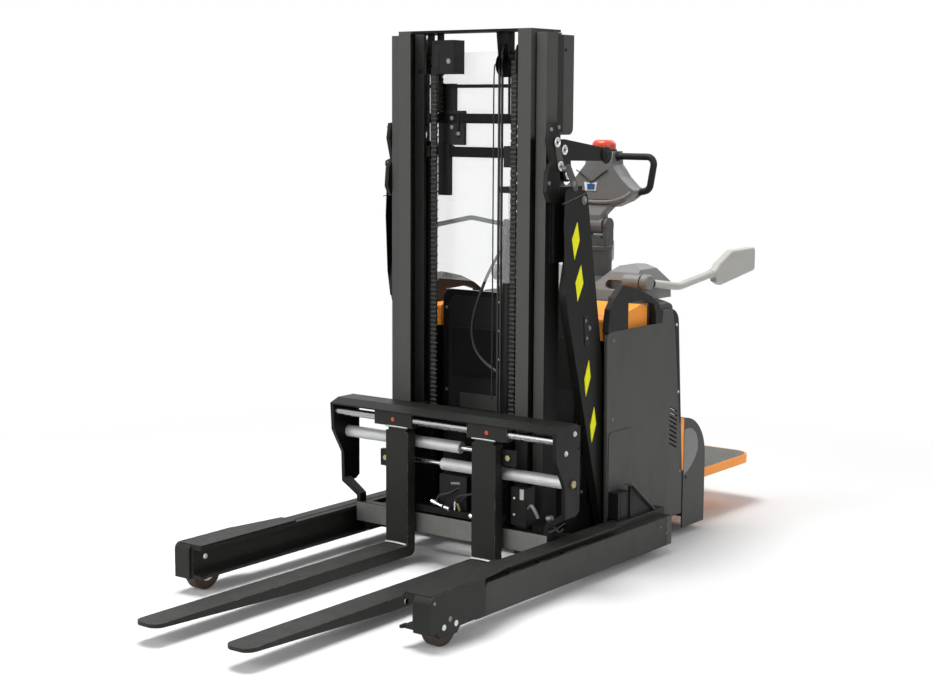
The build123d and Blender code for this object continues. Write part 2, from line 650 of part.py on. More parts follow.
# Wheel skirt with its rounded mudguards, open below and in front
PLATFORM_HINGE_Z = PLATFORM_TOP_Z - 8
SKIRT_FRONT_X = PANEL_LOW_REAR_X - TRIM_THICKNESS
with BuildPart() as wheel_skirt:
    with BuildSketch(side(BODY_HALF_WIDTH)) as skirt_outline:
        with BuildLine():
            Polyline(
                (SKIRT_FRONT_X, SKIRT_TOP_Z),
                (SKIRT_FRONT_X, SKIRT_BOTTOM_Z),
                (SKIRT_REAR_X, SKIRT_BOTTOM_Z),
                (SKIRT_REAR_X, SKIRT_TOP_Z),
                close=True,
            )
        make_face()
        fillet(skirt_outline.vertices().sort_by(Axis.X)[:2].sort_by(Axis.Y)[-1], radius=SKIRT_ROUND)
    extrude(amount=2 * BODY_HALF_WIDTH)
    with BuildSketch(side(BODY_HALF_WIDTH - HOOD_WALL)):
        offset(skirt_outline.sketch, amount=-HOOD_WALL)
    extrude(amount=2 * (BODY_HALF_WIDTH - HOOD_WALL), mode=Mode.SUBTRACT)
    with BuildSketch(side(BODY_HALF_WIDTH - HOOD_WALL)):
        with BuildLine():
            Polyline(
                (SKIRT_FRONT_X + 1, SKIRT_BOTTOM_Z - 1),
                (SKIRT_FRONT_X + 1, SKIRT_TOP_Z - HOOD_WALL),
                (SKIRT_FRONT_X - SKIRT_CORNER, SKIRT_TOP_Z - HOOD_WALL),
                (SKIRT_FRONT_X - SKIRT_CORNER, SKIRT_BOTTOM_Z + HOOD_WALL),
                (SKIRT_REAR_X + HOOD_WALL, SKIRT_BOTTOM_Z + HOOD_WALL),
                (SKIRT_REAR_X + HOOD_WALL, SKIRT_BOTTOM_Z - 1),
                close=True,
            )
        make_face()
    extrude(amount=2 * (BODY_HALF_WIDTH - HOOD_WALL), mode=Mode.SUBTRACT)
    with BuildSketch(level(HOOD_BOTTOM_Z)):
        add(hood_plan.sketch)
    extrude(amount=SKIRT_TOP_Z, mode=Mode.SUBTRACT)
    # lugs and pin for the folding platform
    for lug_y in (-300, -100, 100, 300):
        with BuildSketch(side(lug_y + HINGE_LUG_WIDTH / 2)):
            with BuildLine():
                Polyline(
                    (SKIRT_REAR_X, PLATFORM_HINGE_Z - 22),
                    (SKIRT_REAR_X, PLATFORM_HINGE_Z + 7),
                    (PLATFORM_FRONT_X - 8, PLATFORM_HINGE_Z + 7),
                    (PLATFORM_FRONT_X - 8, PLATFORM_HINGE_Z - 8),
                    close=True,
                )
            make_face()
        extrude(amount=HINGE_LUG_WIDTH)
    with BuildSketch(side(300)):
        with Locations((PLATFORM_FRONT_X, PLATFORM_HINGE_Z)):
            Circle(PLATFORM_HINGE_R - 3)
    extrude(amount=600)
wheel_skirt.part.label = "wheel_skirt"

trim_lean = (PANEL_TOP_REAR_X - PANEL_LOW_REAR_X) / (PANEL_CAP_Z - PANEL_KNEE_Z)
with BuildPart() as orange_trim:
    for trim_y in (BODY_HALF_WIDTH, -PANEL_INNER_Y):
        with BuildSketch(side(trim_y)):
            with BuildLine():
                Polyline(
                    (PANEL_LOW_REAR_X, PANEL_KNEE_Z),
                    (PANEL_LOW_REAR_X + trim_lean * (SKIRT_TOP_Z - PANEL_KNEE_Z), SKIRT_TOP_Z),
                    (PANEL_LOW_REAR_X - TRIM_THICKNESS, SKIRT_TOP_Z),
                    (PANEL_LOW_REAR_X - TRIM_THICKNESS, PANEL_KNEE_Z),
                    close=True,
                )
            make_face()
        extrude(amount=PANEL_THICKNESS)
orange_trim.part.label = "orange_trim"

# Console with the fixed column and the gate pivots
GATE_BOSS_R = 27.0
GATE_PIN_R = 12.0
GATE_EYE_WIDTH = 30.0
SHOULDER_PROFILE = (
    # y, z from the valley out to the flank
    (0.0, CONSOLE_VALLEY_Z - 6),
    (0.34 * CONSOLE_HALF_WIDTH, CONSOLE_VALLEY_Z),
    (0.62 * CONSOLE_HALF_WIDTH, CONSOLE_TOP_Z - 10),
    (0.80 * CONSOLE_HALF_WIDTH, CONSOLE_TOP_Z),
    (0.94 * CONSOLE_HALF_WIDTH, CONSOLE_TOP_Z - 20),
    (CONSOLE_HALF_WIDTH, CONSOLE_TOP_Z - 74),
    (0.98 * CONSOLE_HALF_WIDTH, HOOD_TOP_Z),
)
RIDGE_PROFILE = (
    # x, z from the nose to the back
    (CONSOLE_FRONT_X, HOOD_TOP_Z),
    (CONSOLE_FRONT_X - 6, HOOD_TOP_Z + 38),
    (GATE_PIVOT_X - 20, CONSOLE_TOP_Z - 30),
    (GATE_PIVOT_X - 62, CONSOLE_TOP_Z + 1),
    (COLUMN_X + 62, CONSOLE_TOP_Z - 4),
    (CONSOLE_REAR_X + 14, CONSOLE_VALLEY_Z + 8),
    (CONSOLE_REAR_X, HOOD_TOP_Z),
)
with BuildPart() as console:
    # front view
    with BuildSketch(cross(CONSOLE_REAR_X)):
        with BuildLine():
            Polyline(*SHOULDER_PROFILE, *[(-y, z) for y, z in reversed(SHOULDER_PROFILE[1:])], close=True)
        make_face()
    extrude(amount=CONSOLE_FRONT_X - CONSOLE_REAR_X)
    # cut to the side view
    with BuildSketch(side(CONSOLE_HALF_WIDTH)):
        with BuildLine():
            Polyline(*RIDGE_PROFILE, close=True)
        make_face()
    extrude(amount=2 * CONSOLE_HALF_WIDTH, mode=Mode.INTERSECT)
    ridge_edges = console.edges().filter_by(lambda e: e.center().Z > HOOD_TOP_Z + 1)
    fillet(ridge_edges.filter_by(Axis.Y), radius=CONSOLE_ROUND)
    with BuildSketch(level(HOOD_TOP_Z)):
        with Locations((COLUMN_X, 0)):
            Circle(COLUMN_R)
    extrude(amount=COLUMN_TOP_Z - HOOD_TOP_Z)
    # pocket in each shoulder's front
    with BuildSketch(cross(CONSOLE_FRONT_X + 1)):
        with Locations(*[(sign * 0.66 * CONSOLE_HALF_WIDTH, HOOD_TOP_Z + 58) for sign in (1, -1)]):
            SlotOverall(84, 34)
    extrude(amount=-46, mode=Mode.SUBTRACT)
    # bosses and pins for the side gates
    gate_root_y = 0.8 * CONSOLE_HALF_WIDTH
    for radius, tip_y in ((GATE_BOSS_R, GATE_Y - GATE_EYE_WIDTH / 2 - COVER_GAP), (GATE_PIN_R, GATE_Y + GATE_EYE_WIDTH / 2)):
        for start_y in (tip_y, -gate_root_y):
            with BuildSketch(side(start_y)):
                with Locations((GATE_PIVOT_X, GATE_PIVOT_Z)):
                    Circle(radius)
            extrude(amount=tip_y - gate_root_y)
console.part.label = "console"

# Tiller: a yoke that turns, and an arm with head and grips that tilts
CHEEK_INNER_Y = 38.0
TURN_GAP = 5.0
TILT_BOSS_R = 34.0
CHEEK_THICKNESS = 14.0
YOKE_BASE_Z = COLUMN_TOP_Z + 0.5
with BuildPart() as tiller_yoke:
    with BuildSketch(level(YOKE_BASE_Z)):
        with Locations((COLUMN_X, 0)):
            Circle(COLUMN_R)
    extrude(amount=26)
    for cheek_y in (CHEEK_INNER_Y + CHEEK_THICKNESS, -CHEEK_INNER_Y):
        with BuildSketch(side(cheek_y)):
            with Locations((COLUMN_X, TILT_PIVOT_Z)):
                Circle(30)
            with Locations((COLUMN_X, (TILT_PIVOT_Z + YOKE_BASE_Z) / 2)):
                Rectangle(56, TILT_PIVOT_Z - YOKE_BASE_Z)
        extrude(amount=CHEEK_THICKNESS)
    with BuildSketch(side(CHEEK_INNER_Y + CHEEK_THICKNESS)):
        with Locations((COLUMN_X, TILT_PIVOT_Z)):
            Circle(TILLER_PIN_R)
    extrude(amount=2 * (CHEEK_INNER_Y + CHEEK_THICKNESS))
tiller_yoke.part.label = "tiller_yoke"

HEAD_X = COLUMN_X - 32.0
NECK_DEPTH = 56.0
NECK_WIDTH = 62.0
WING_PROFILE = (
    # y, z from the head's foot round the wing to its top
    (0.0, HEAD_BOTTOM_Z),
    (0.42 * WING_HALF_WIDTH, HEAD_BOTTOM_Z + 4),
    (0.76 * WING_HALF_WIDTH, HEAD_BOTTOM_Z + 28),
    (0.96 * WING_HALF_WIDTH, WING_TIP_Z - 10),
    (WING_HALF_WIDTH, WING_TIP_Z + 6),
    (0.84 * WING_HALF_WIDTH, WING_TIP_Z + 20),
    (0.60 * WING_HALF_WIDTH, WING_TIP_Z + 54),
    (HEAD_HALF_WIDTH, HEAD_TOP_Z - 50),
    (HEAD_HALF_WIDTH - 4, HEAD_TOP_Z),
)
FACE_PROFILE = (
    # x, z of the head seen from the side
    (HEAD_X + HEAD_DEPTH / 2 - 20, HEAD_BOTTOM_Z),
    (HEAD_X + HEAD_DEPTH / 2, HEAD_BOTTOM_Z + 34),
    (HEAD_X + HEAD_DEPTH / 2 - 8, HEAD_TOP_Z - 40),
    (HEAD_X + HEAD_DEPTH / 2 - 26, HEAD_TOP_Z),
    (HEAD_X - HEAD_DEPTH / 2, HEAD_TOP_Z),
    (HEAD_X - HEAD_DEPTH / 2, HEAD_TOP_Z - 70),
    (HEAD_X - HEAD_DEPTH / 4, HEAD_BOTTOM_Z),
)
with BuildPart() as tiller_arm:
    # head: front view cut to the side view
    with BuildSketch(cross(HEAD_X - HEAD_DEPTH / 2)):
        with BuildLine():
            Polyline(*WING_PROFILE, *[(-y, z) for y, z in reversed(WING_PROFILE[1:])], close=True)
        make_face()
    extrude(amount=HEAD_DEPTH)
    with BuildSketch(side(WING_HALF_WIDTH)):
        with BuildLine():
            Polyline(*FACE_PROFILE, close=True)
        make_face()
    extrude(amount=2 * WING_HALF_WIDTH, mode=Mode.INTERSECT)
    # neck with its boss between the yoke's cheeks
    with BuildSketch(side(CHEEK_INNER_Y - TURN_GAP)):
        with Locations((COLUMN_X, TILT_PIVOT_Z)):
            Circle(TILT_BOSS_R)
    extrude(amount=2 * (CHEEK_INNER_Y - TURN_GAP))
    with BuildSketch(level(TILT_PIVOT_Z + 12)):
        with Locations((COLUMN_X, 0)):
            RectangleRounded(NECK_DEPTH, NECK_WIDTH, 12)
    extrude(amount=TILT_BOSS_R - 6)
    with BuildSketch(level(TILT_PIVOT_Z + TILT_BOSS_R + 6)):
        with Locations((COLUMN_X, 0)):
            RectangleRounded(NECK_DEPTH, NECK_WIDTH, 12)
    with BuildSketch(level(HEAD_BOTTOM_Z + 12)):
        with Locations((HEAD_X + 8, 0)):
            RectangleRounded(NECK_DEPTH + 6, 2 * NECK_WIDTH, 20)
    loft()
    with BuildSketch(side(CHEEK_INNER_Y)):
        with Locations((COLUMN_X, TILT_PIVOT_Z)):
            Circle(TILLER_PIN_R + AXLE_FIT)
    extrude(amount=2 * CHEEK_INNER_Y, mode=Mode.SUBTRACT)
tiller_arm.part.label = "tiller_arm"

GRIP_X = HEAD_X - 8.0
with BuildPart() as tiller_grips:
    for sign in (1, -1):
        with BuildLine(cross(GRIP_X)) as grip_path:
            FilletPolyline(
                (sign * (HEAD_HALF_WIDTH - 12), GRIP_TOP_Z),
                (sign * GRIP_OUTER_Y, GRIP_TOP_Z),
                (sign * (GRIP_OUTER_Y - 22), WING_TIP_Z + 8),
                (sign * (WING_HALF_WIDTH - 30), WING_TIP_Z - 8),
                radius=GRIP_ROUND,
            )
        with BuildSketch(Plane(origin=grip_path.line @ 0, z_dir=grip_path.line % 0)):
            Circle(GRIP_TUBE_R)
        sweep(path=grip_path.line)
    # the head fills the tubes' roots
    add(tiller_arm.part, mode=Mode.SUBTRACT)
tiller_grips.part.label = "tiller_grips"

with BuildPart() as stop_button:
    with BuildSketch(level(HEAD_TOP_Z)):
        with Locations((HEAD_X, 0)):
            Circle(BUTTON_R)
    extrude(amount=BUTTON_TOP_Z - HEAD_TOP_Z)
    fillet(stop_button.edges().filter_by(GeomType.CIRCLE).sort_by(Axis.Z)[-1], radius=0.45 * BUTTON_R)
stop_button.part.label = "stop_button"

# Drive unit: motor and flange on the bed, gearbox leg beside the wheel
FLANGE_R = 100.0
FLANGE_THICKNESS = 12.0
MOTOR_R = 78.0
MOTOR_TOP_Z = 700.0
GEARBOX_WIDTH = 52.0
with BuildPart() as drive_unit:
    with BuildSketch(level(BED_TOP_Z + 0.3)):
        with Locations((DRIVE_X, DRIVE_Y)):
            Circle(FLANGE_R)
    extrude(amount=FLANGE_THICKNESS)
    with BuildSketch(level(2 * DRIVE_WHEEL_R + 12)):
        with Locations((DRIVE_X, DRIVE_Y)):
            Circle(MOTOR_R)
    extrude(amount=MOTOR_TOP_Z - 2 * DRIVE_WHEEL_R - 12)
    with BuildSketch(side(DRIVE_Y + DRIVE_WHEEL_WIDTH / 2 + WHEEL_SIDE_GAP + GEARBOX_WIDTH)) as gearbox:
        with Locations((DRIVE_X, DRIVE_WHEEL_R), (DRIVE_X, 2 * DRIVE_WHEEL_R + 30)):
            Circle(62)
        make_hull()
    extrude(amount=GEARBOX_WIDTH)
    with BuildSketch(side(DRIVE_Y + DRIVE_WHEEL_WIDTH / 2 + WHEEL_SIDE_GAP + 1)):
        with Locations((DRIVE_X, DRIVE_WHEEL_R)):
            Circle(DRIVE_AXLE_R)
    extrude(amount=DRIVE_WHEEL_WIDTH + WHEEL_SIDE_GAP)
drive_unit.part.label = "drive_unit"

with BuildPart() as drive_wheel:
    with BuildSketch(side(DRIVE_Y + DRIVE_WHEEL_WIDTH / 2)):
        with Locations((DRIVE_X, DRIVE_WHEEL_R)):
            Circle(DRIVE_WHEEL_R)
    extrude(amount=DRIVE_WHEEL_WIDTH)
    fillet(drive_wheel.edges().filter_by(GeomType.CIRCLE), radius=8)
    with BuildSketch(side(DRIVE_Y + DRIVE_WHEEL_WIDTH / 2 + 1)):
        with Locations((DRIVE_X, DRIVE_WHEEL_R)):
            Circle(DRIVE_AXLE_R + AXLE_FIT)
    extrude(amount=DRIVE_WHEEL_WIDTH + 2, mode=Mode.SUBTRACT)
drive_wheel.part.label = "drive_wheel"

# Castor: stem through the bed, crown and two cheeks
CASTOR_CROWN_Z = 2 * CASTOR_R + 16.0
CASTOR_WHEEL_X = CASTOR_X - CASTOR_TRAIL
CASTOR_CHEEK = 8.0
CASTOR_CROWN_LENGTH = CASTOR_TRAIL + 62.0
CASTOR_CROWN_HEIGHT = 60.0
with BuildPart() as castor_fork:
    with BuildSketch(level(CASTOR_CROWN_Z)):
        with Locations((CASTOR_X, CASTOR_Y)):
            Circle(CASTOR_STEM_R)
    extrude(amount=BED_TOP_Z - CASTOR_CROWN_Z)
    with BuildSketch(level(BED_TOP_Z + 0.3)):
        with Locations((CASTOR_X, CASTOR_Y)):
            Circle(CASTOR_STEM_R + 14)
    extrude(amount=10)
    with BuildSketch(level(BED_TOP_Z)):
        with Locations((CASTOR_X, CASTOR_Y)):
            Circle(CASTOR_STEM_R)
    extrude(amount=2)
    with BuildSketch(level(CASTOR_CROWN_Z)):
        with Locations(((CASTOR_X + CASTOR_WHEEL_X) / 2, CASTOR_Y)):
            RectangleRounded(CASTOR_CROWN_LENGTH, CASTOR_WIDTH + 2 * WHEEL_SIDE_GAP + 2 * CASTOR_CHEEK, 10)
    extrude(amount=CASTOR_CROWN_HEIGHT)
    for cheek_y in (
        CASTOR_Y + CASTOR_WIDTH / 2 + WHEEL_SIDE_GAP + CASTOR_CHEEK,
        CASTOR_Y - CASTOR_WIDTH / 2 - WHEEL_SIDE_GAP,
    ):
        with BuildSketch(side(cheek_y)):
            with Locations((CASTOR_WHEEL_X, CASTOR_R)):
                Circle(CASTOR_AXLE_R + 13)
            with Locations(((CASTOR_X + CASTOR_WHEEL_X) / 2, CASTOR_CROWN_Z + 4)):
                Rectangle(CASTOR_CROWN_LENGTH - 16, 8)
            make_hull()
        extrude(amount=CASTOR_CHEEK)
    with BuildSketch(side(CASTOR_Y + CASTOR_WIDTH / 2 + WHEEL_SIDE_GAP + CASTOR_CHEEK)):
        with Locations((CASTOR_WHEEL_X, CASTOR_R)):
            Circle(CASTOR_AXLE_R)
    extrude(amount=CASTOR_WIDTH + 2 * WHEEL_SIDE_GAP + 2 * CASTOR_CHEEK)
castor_fork.part.label = "castor_fork"

with BuildPart() as castor_wheel:
    with BuildSketch(side(CASTOR_Y + CASTOR_WIDTH / 2)):
        with Locations((CASTOR_WHEEL_X, CASTOR_R)):
            Circle(CASTOR_R)
    extrude(amount=CASTOR_WIDTH)
    fillet(castor_wheel.edges().filter_by(GeomType.CIRCLE), radius=TYRE_ROUND)
    with BuildSketch(side(CASTOR_Y + CASTOR_WIDTH / 2 + 1)):
        with Locations((CASTOR_WHEEL_X, CASTOR_R)):
            Circle(CASTOR_AXLE_R + AXLE_FIT)
    extrude(amount=CASTOR_WIDTH + 2, mode=Mode.SUBTRACT)
castor_wheel.part.label = "castor_wheel"

# Folding platform with hinge knuckles
KNUCKLE_Y = (-200.0, 0.0, 200.0)
KNUCKLE_WIDTH = 60.0
with BuildPart() as platform:
    plate_front_x = PLATFORM_FRONT_X - 17
    with BuildSketch(level(PLATFORM_TOP_Z - PLATFORM_THICKNESS)) as platform_plan:
        with Locations(((plate_front_x + PLATFORM_REAR_X) / 2, 0)):
            Rectangle(plate_front_x - PLATFORM_REAR_X, 2 * PLATFORM_HALF_WIDTH)
        fillet(platform_plan.vertices().group_by(Axis.X)[0], radius=PLATFORM_CORNER)
    extrude(amount=PLATFORM_THICKNESS)
    for knuckle_y in KNUCKLE_Y:
        with BuildSketch(side(knuckle_y + KNUCKLE_WIDTH / 2)):
            with Locations((PLATFORM_FRONT_X, PLATFORM_HINGE_Z)):
                Circle(PLATFORM_HINGE_R)
            with Locations(((PLATFORM_FRONT_X + plate_front_x) / 2, PLATFORM_HINGE_Z)):
                Rectangle(PLATFORM_FRONT_X - plate_front_x, 2 * PLATFORM_HINGE_R - 2)
        extrude(amount=KNUCKLE_WIDTH)
    with BuildSketch(side(KNUCKLE_Y[-1] + KNUCKLE_WIDTH)):
        with Locations((PLATFORM_FRONT_X, PLATFORM_HINGE_Z)):
            Circle(PLATFORM_HINGE_R - 3 + AXLE_FIT)
    extrude(amount=2 * KNUCKLE_Y[-1] + 2 * KNUCKLE_WIDTH, mode=Mode.SUBTRACT)
platform.part.label = "platform"

# Side gates: an eye, a bent tube and a padded paddle
PADDLE_ROUND = 16.0
PADDLE_EDGE = 9.0
with BuildPart() as paddle:
    with BuildSketch(side(GATE_Y + PADDLE_THICKNESS / 2)) as paddle_outline:
        with BuildLine():
            Polyline(
                (PADDLE_FRONT_X, GATE_PIVOT_Z + 6),
                (PADDLE_FRONT_X - 42, PADDLE_TOP_Z - 44),
                (PADDLE_FRONT_X - 138, PADDLE_TOP_Z - 2),
                (PADDLE_REAR_X, PADDLE_TOP_Z),
                (PADDLE_REAR_X, PADDLE_BOTTOM_Z + 40),
                (PADDLE_FRONT_X - 54, PADDLE_BOTTOM_Z),
                (PADDLE_FRONT_X - 14, PADDLE_BOTTOM_Z + 16),
                close=True,
            )
        make_face()
        fillet(paddle_outline.vertices(), radius=PADDLE_ROUND)
    extrude(amount=PADDLE_THICKNESS)
    fillet(paddle.faces().filter_by(Axis.Y).edges(), radius=PADDLE_EDGE)

with BuildPart() as side_gate_left:
    add(paddle.part)
    with BuildSketch(side(GATE_Y + GATE_EYE_WIDTH / 2)):
        with Locations((GATE_PIVOT_X, GATE_PIVOT_Z)):
            Circle(GATE_BOSS_R)
    extrude(amount=GATE_EYE_WIDTH)
    with BuildLine(side(GATE_Y)) as gate_path:
        FilletPolyline(
            (GATE_PIVOT_X, GATE_PIVOT_Z),
            (GATE_PIVOT_X - 240, GATE_PIVOT_Z - 32),
            (PADDLE_FRONT_X - 60, GATE_PIVOT_Z + 6),
            radius=200,
        )
    with BuildSketch(Plane(origin=gate_path.line @ 0, z_dir=gate_path.line % 0)):
        Circle(GATE_TUBE_R)
    sweep(path=gate_path.line)
    with BuildSketch(side(GATE_Y + GATE_EYE_WIDTH)):
        with Locations((GATE_PIVOT_X, GATE_PIVOT_Z)):
            Circle(GATE_PIN_R + AXLE_FIT)
    extrude(amount=2 * GATE_EYE_WIDTH, mode=Mode.SUBTRACT)
side_gate_left.part.label = "side_gate_left"

with BuildPart() as side_gate_right:
    mirror(side_gate_left.part, about=Plane.XZ)
side_gate_right.part.label = "side_gate_right"

# Mast base: side plates, rear tube, feet for the rails and cylinders, rollers in the leg rails
ROLLER_Z = (RAIL_BOTTOM_Z + RAIL_TOP_Z) / 2
ROLLER_INNER_Y = RAIL_INNER_Y + 5.0
STUB_R = 14.0
OUTER_REAR_X = OUTER_FRONT_X - OUTER_DEPTH
LINK_PIN_R = 12.0
LINK_LUG_OUTER_Y = LINK_OUTER_Y - LINK_THICKNESS - 7.0
LINK_LUG_THICKNESS = 12.0
LINK_FOOT_X = ARM_TOP_X
LINK_FOOT_Z = ARM_FOOT_Z
FOOT_TOP_Z = 100.0
SILL_INNER_Y = LIFT_Y - 35.0

with BuildPart() as mast_base:
    for plate_y in (BASE_SIDE_Y, -BASE_SIDE_Y + BASE_PLATE):
        with BuildSketch(side(plate_y)) as base_side:
            with BuildLine():
                Polyline(
                    (BASE_REAR_X, OUTER_BOTTOM_Z),
                    (BASE_REAR_X, BASE_TOP_Z),
                    (BASE_FRONT_X, BASE_TOP_Z),
                    (BASE_FRONT_X, OUTER_BOTTOM_Z),
                    close=True,
                )
            make_face()
            fillet(base_side.vertices(), radius=14)
        extrude(amount=BASE_PLATE)
    # rear cross tube, below the links' feet
    with BuildSketch(side(BASE_SIDE_Y - BASE_PLATE)):
        with Locations((BASE_REAR_X + 34, (OUTER_BOTTOM_Z + FOOT_TOP_Z) / 2)):
            Rectangle(60, FOOT_TOP_Z - OUTER_BOTTOM_Z)
    extrude(amount=2 * (BASE_SIDE_Y - BASE_PLATE))
    # feet from the side plates to the rails, and sills to the cross tube
    for sign in (1, -1):
        with BuildSketch(level(OUTER_BOTTOM_Z)):
            with Locations(((OUTER_REAR_X + 60) / 2, sign * (OUTER_HALF_WIDTH + BASE_SIDE_Y - BASE_PLATE) / 2)):
                Rectangle(60 - OUTER_REAR_X, BASE_SIDE_Y - BASE_PLATE - OUTER_HALF_WIDTH)
        extrude(amount=BASE_TOP_Z - OUTER_BOTTOM_Z)
        with BuildSketch(level(OUTER_BOTTOM_Z)):
            with Locations(((OUTER_REAR_X + BASE_REAR_X + 64) / 2, sign * (LINK_LUG_OUTER_Y + SILL_INNER_Y) / 2)):
                Rectangle(OUTER_REAR_X - BASE_REAR_X - 64, LINK_LUG_OUTER_Y - SILL_INNER_Y)
        extrude(amount=FOOT_TOP_Z - OUTER_BOTTOM_Z)
        # lug with an oversize hole for the link's open pivot
        with BuildSketch(side(LINK_LUG_OUTER_Y if sign > 0 else -LINK_LUG_OUTER_Y + LINK_LUG_THICKNESS)):
            with BuildLine():
                Polyline(
                    (LINK_FOOT_X - 44, OUTER_BOTTOM_Z),
                    (LINK_FOOT_X - 44, LINK_FOOT_Z + 44),
                    (OUTER_REAR_X - CROSS_BAR_DEPTH, LINK_FOOT_Z + 44),
                    (OUTER_REAR_X - CROSS_BAR_DEPTH, OUTER_BOTTOM_Z),
                    close=True,
                )
            make_face()
            with Locations((LINK_FOOT_X, LINK_FOOT_Z)):
                Circle(LINK_PIN_R + SLOT_SPARE, mode=Mode.SUBTRACT)
        extrude(amount=LINK_LUG_THICKNESS)
    # rollers on stub axles
    for roller_x in RAIL_ROLLER_X:
        for sign in (1, -1):
            with BuildSketch(side(sign * ROLLER_INNER_Y + (RAIL_ROLLER_WIDTH if sign > 0 else 0))):
                with Locations((roller_x, ROLLER_Z)):
                    Circle(RAIL_ROLLER_R)
            extrude(amount=RAIL_ROLLER_WIDTH)
            with BuildSketch(side(ROLLER_INNER_Y + 1 if sign > 0 else -BASE_SIDE_Y + 1)):
                with Locations((roller_x, ROLLER_Z)):
                    Circle(STUB_R)
            extrude(amount=ROLLER_INNER_Y - BASE_SIDE_Y + 2)
mast_base.part.label = "mast_base"

# Outer mast: two inward-facing channels, cross bars behind them and guide plates for the arms
CROSS_BARS = (
    # bottom Z, height
    (FOOT_TOP_Z, 60.0),
    (OUTER_TOP_Z - 422.0, 36.0),
    (OUTER_TOP_Z - 304.0, 34.0),
    (OUTER_TOP_Z - 181.0, 12.0),
)
CROSS_BAR_FRONT_X = OUTER_REAR_X
ANCHOR_TOP_Z = OUTER_TOP_Z - 270.0
ANCHOR_HEIGHT = 26.0
ANCHOR_DEPTH = 20.0
CROSS_BAR_REAR_X = OUTER_REAR_X - CROSS_BAR_DEPTH
GUIDE_FRONT_X = 60.0
GUIDE_REAR_X = ARM_TOP_X - 48.0
GUIDE_BOTTOM_Z = 1090.0
GUIDE_TOP_Z = 1345.0
GUIDE_THICKNESS = 16.0
ARM_TOP_DROP = 190.0
HEAD_PLATE_REAR_X = -74.0
HEAD_PLATE_BOTTOM_Z = OUTER_TOP_Z - 339.0

with BuildPart() as outer_mast:
    for sign in (1, -1):
        with BuildSketch(level(OUTER_BOTTOM_Z)):
            with BuildLine():
                Polyline(
                    (OUTER_FRONT_X, sign * OUTER_FLANGE_INNER_Y),
                    (OUTER_FRONT_X, sign * OUTER_HALF_WIDTH),
                    (OUTER_REAR_X, sign * OUTER_HALF_WIDTH),
                    (OUTER_REAR_X, sign * OUTER_FLANGE_INNER_Y),
                    (OUTER_REAR_X + OUTER_WALL, sign * OUTER_FLANGE_INNER_Y),
                    (OUTER_REAR_X + OUTER_WALL, sign * (OUTER_HALF_WIDTH - OUTER_WALL)),
                    (OUTER_FRONT_X - OUTER_WALL, sign * (OUTER_HALF_WIDTH - OUTER_WALL)),
                    (OUTER_FRONT_X - OUTER_WALL, sign * OUTER_FLANGE_INNER_Y),
                    close=True,
                )
            make_face()
        extrude(amount=OUTER_TOP_Z - OUTER_BOTTOM_Z)
        # flat plate behind each rail's head
        with BuildSketch(side(OUTER_HALF_WIDTH if sign > 0 else -OUTER_HALF_WIDTH + OUTER_WALL)) as head_plate:
            with BuildLine():
                Polyline(
                    (OUTER_REAR_X, HEAD_PLATE_BOTTOM_Z),
                    (OUTER_REAR_X, OUTER_TOP_Z - 6),
                    (HEAD_PLATE_REAR_X, OUTER_TOP_Z - 6),
                    (HEAD_PLATE_REAR_X, HEAD_PLATE_BOTTOM_Z),
                    close=True,
                )
            make_face()
            fillet(head_plate.vertices().group_by(Axis.X)[0].sort_by(Axis.Y)[0], radius=24)
        extrude(amount=OUTER_WALL)
        # guide plate with a long slot for the arm's upper pin
        guide_y = OUTER_HALF_WIDTH + GUIDE_THICKNESS if sign > 0 else -OUTER_HALF_WIDTH
        with BuildSketch(side(guide_y)):
            with BuildLine():
                Polyline(
                    (GUIDE_REAR_X, GUIDE_BOTTOM_Z),
                    (GUIDE_REAR_X, GUIDE_TOP_Z),
                    (GUIDE_FRONT_X, GUIDE_TOP_Z),
                    (GUIDE_FRONT_X, GUIDE_BOTTOM_Z),
                    close=True,
                )
            make_face()
            with Locations((ARM_TOP_X, ARM_TOP_Z - ARM_TOP_DROP / 2)):
                SlotOverall(
                    ARM_TOP_DROP + 2 * (LINK_PIN_R + SLOT_SPARE),
                    2 * (LINK_PIN_R + SLOT_SPARE),
                    rotation=90,
                    mode=Mode.SUBTRACT,
                )
        extrude(amount=GUIDE_THICKNESS)
    for bar_bottom_z, bar_height in CROSS_BARS:
        with BuildSketch(level(bar_bottom_z)):
            with Locations(((CROSS_BAR_FRONT_X + CROSS_BAR_REAR_X) / 2, 0)):
                Rectangle(CROSS_BAR_FRONT_X - CROSS_BAR_REAR_X, 2 * OUTER_HALF_WIDTH)
        extrude(amount=bar_height)
    # anchors for the rear runs of the chains and the hoses
    with BuildSketch(level(ANCHOR_TOP_Z - ANCHOR_HEIGHT)):
        with Locations(*[(CROSS_BAR_FRONT_X + ANCHOR_DEPTH / 2, y) for y in (CHAIN_Y, -CHAIN_Y)]):
            Rectangle(ANCHOR_DEPTH, CHAIN_WIDTH)
        with Locations((CROSS_BAR_FRONT_X + ANCHOR_DEPTH / 2, sum(HOSE_Y) / 2)):
            Rectangle(ANCHOR_DEPTH, CHAIN_WIDTH)
    extrude(amount=ANCHOR_HEIGHT)
outer_mast.part.label = "outer_mast"

with BuildPart() as mast_guard:
    with BuildSketch(cross(CROSS_BAR_REAR_X - GUARD_THICKNESS)):
        with Locations((0, (GUARD_TOP_Z + GUARD_BOTTOM_Z) / 2)):
            RectangleRounded(2 * (LIFT_Y - LIFT_BARREL_R - 6), GUARD_TOP_Z - GUARD_BOTTOM_Z, 30)
    extrude(amount=GUARD_THICKNESS)
mast_guard.part.label = "mast_guard"

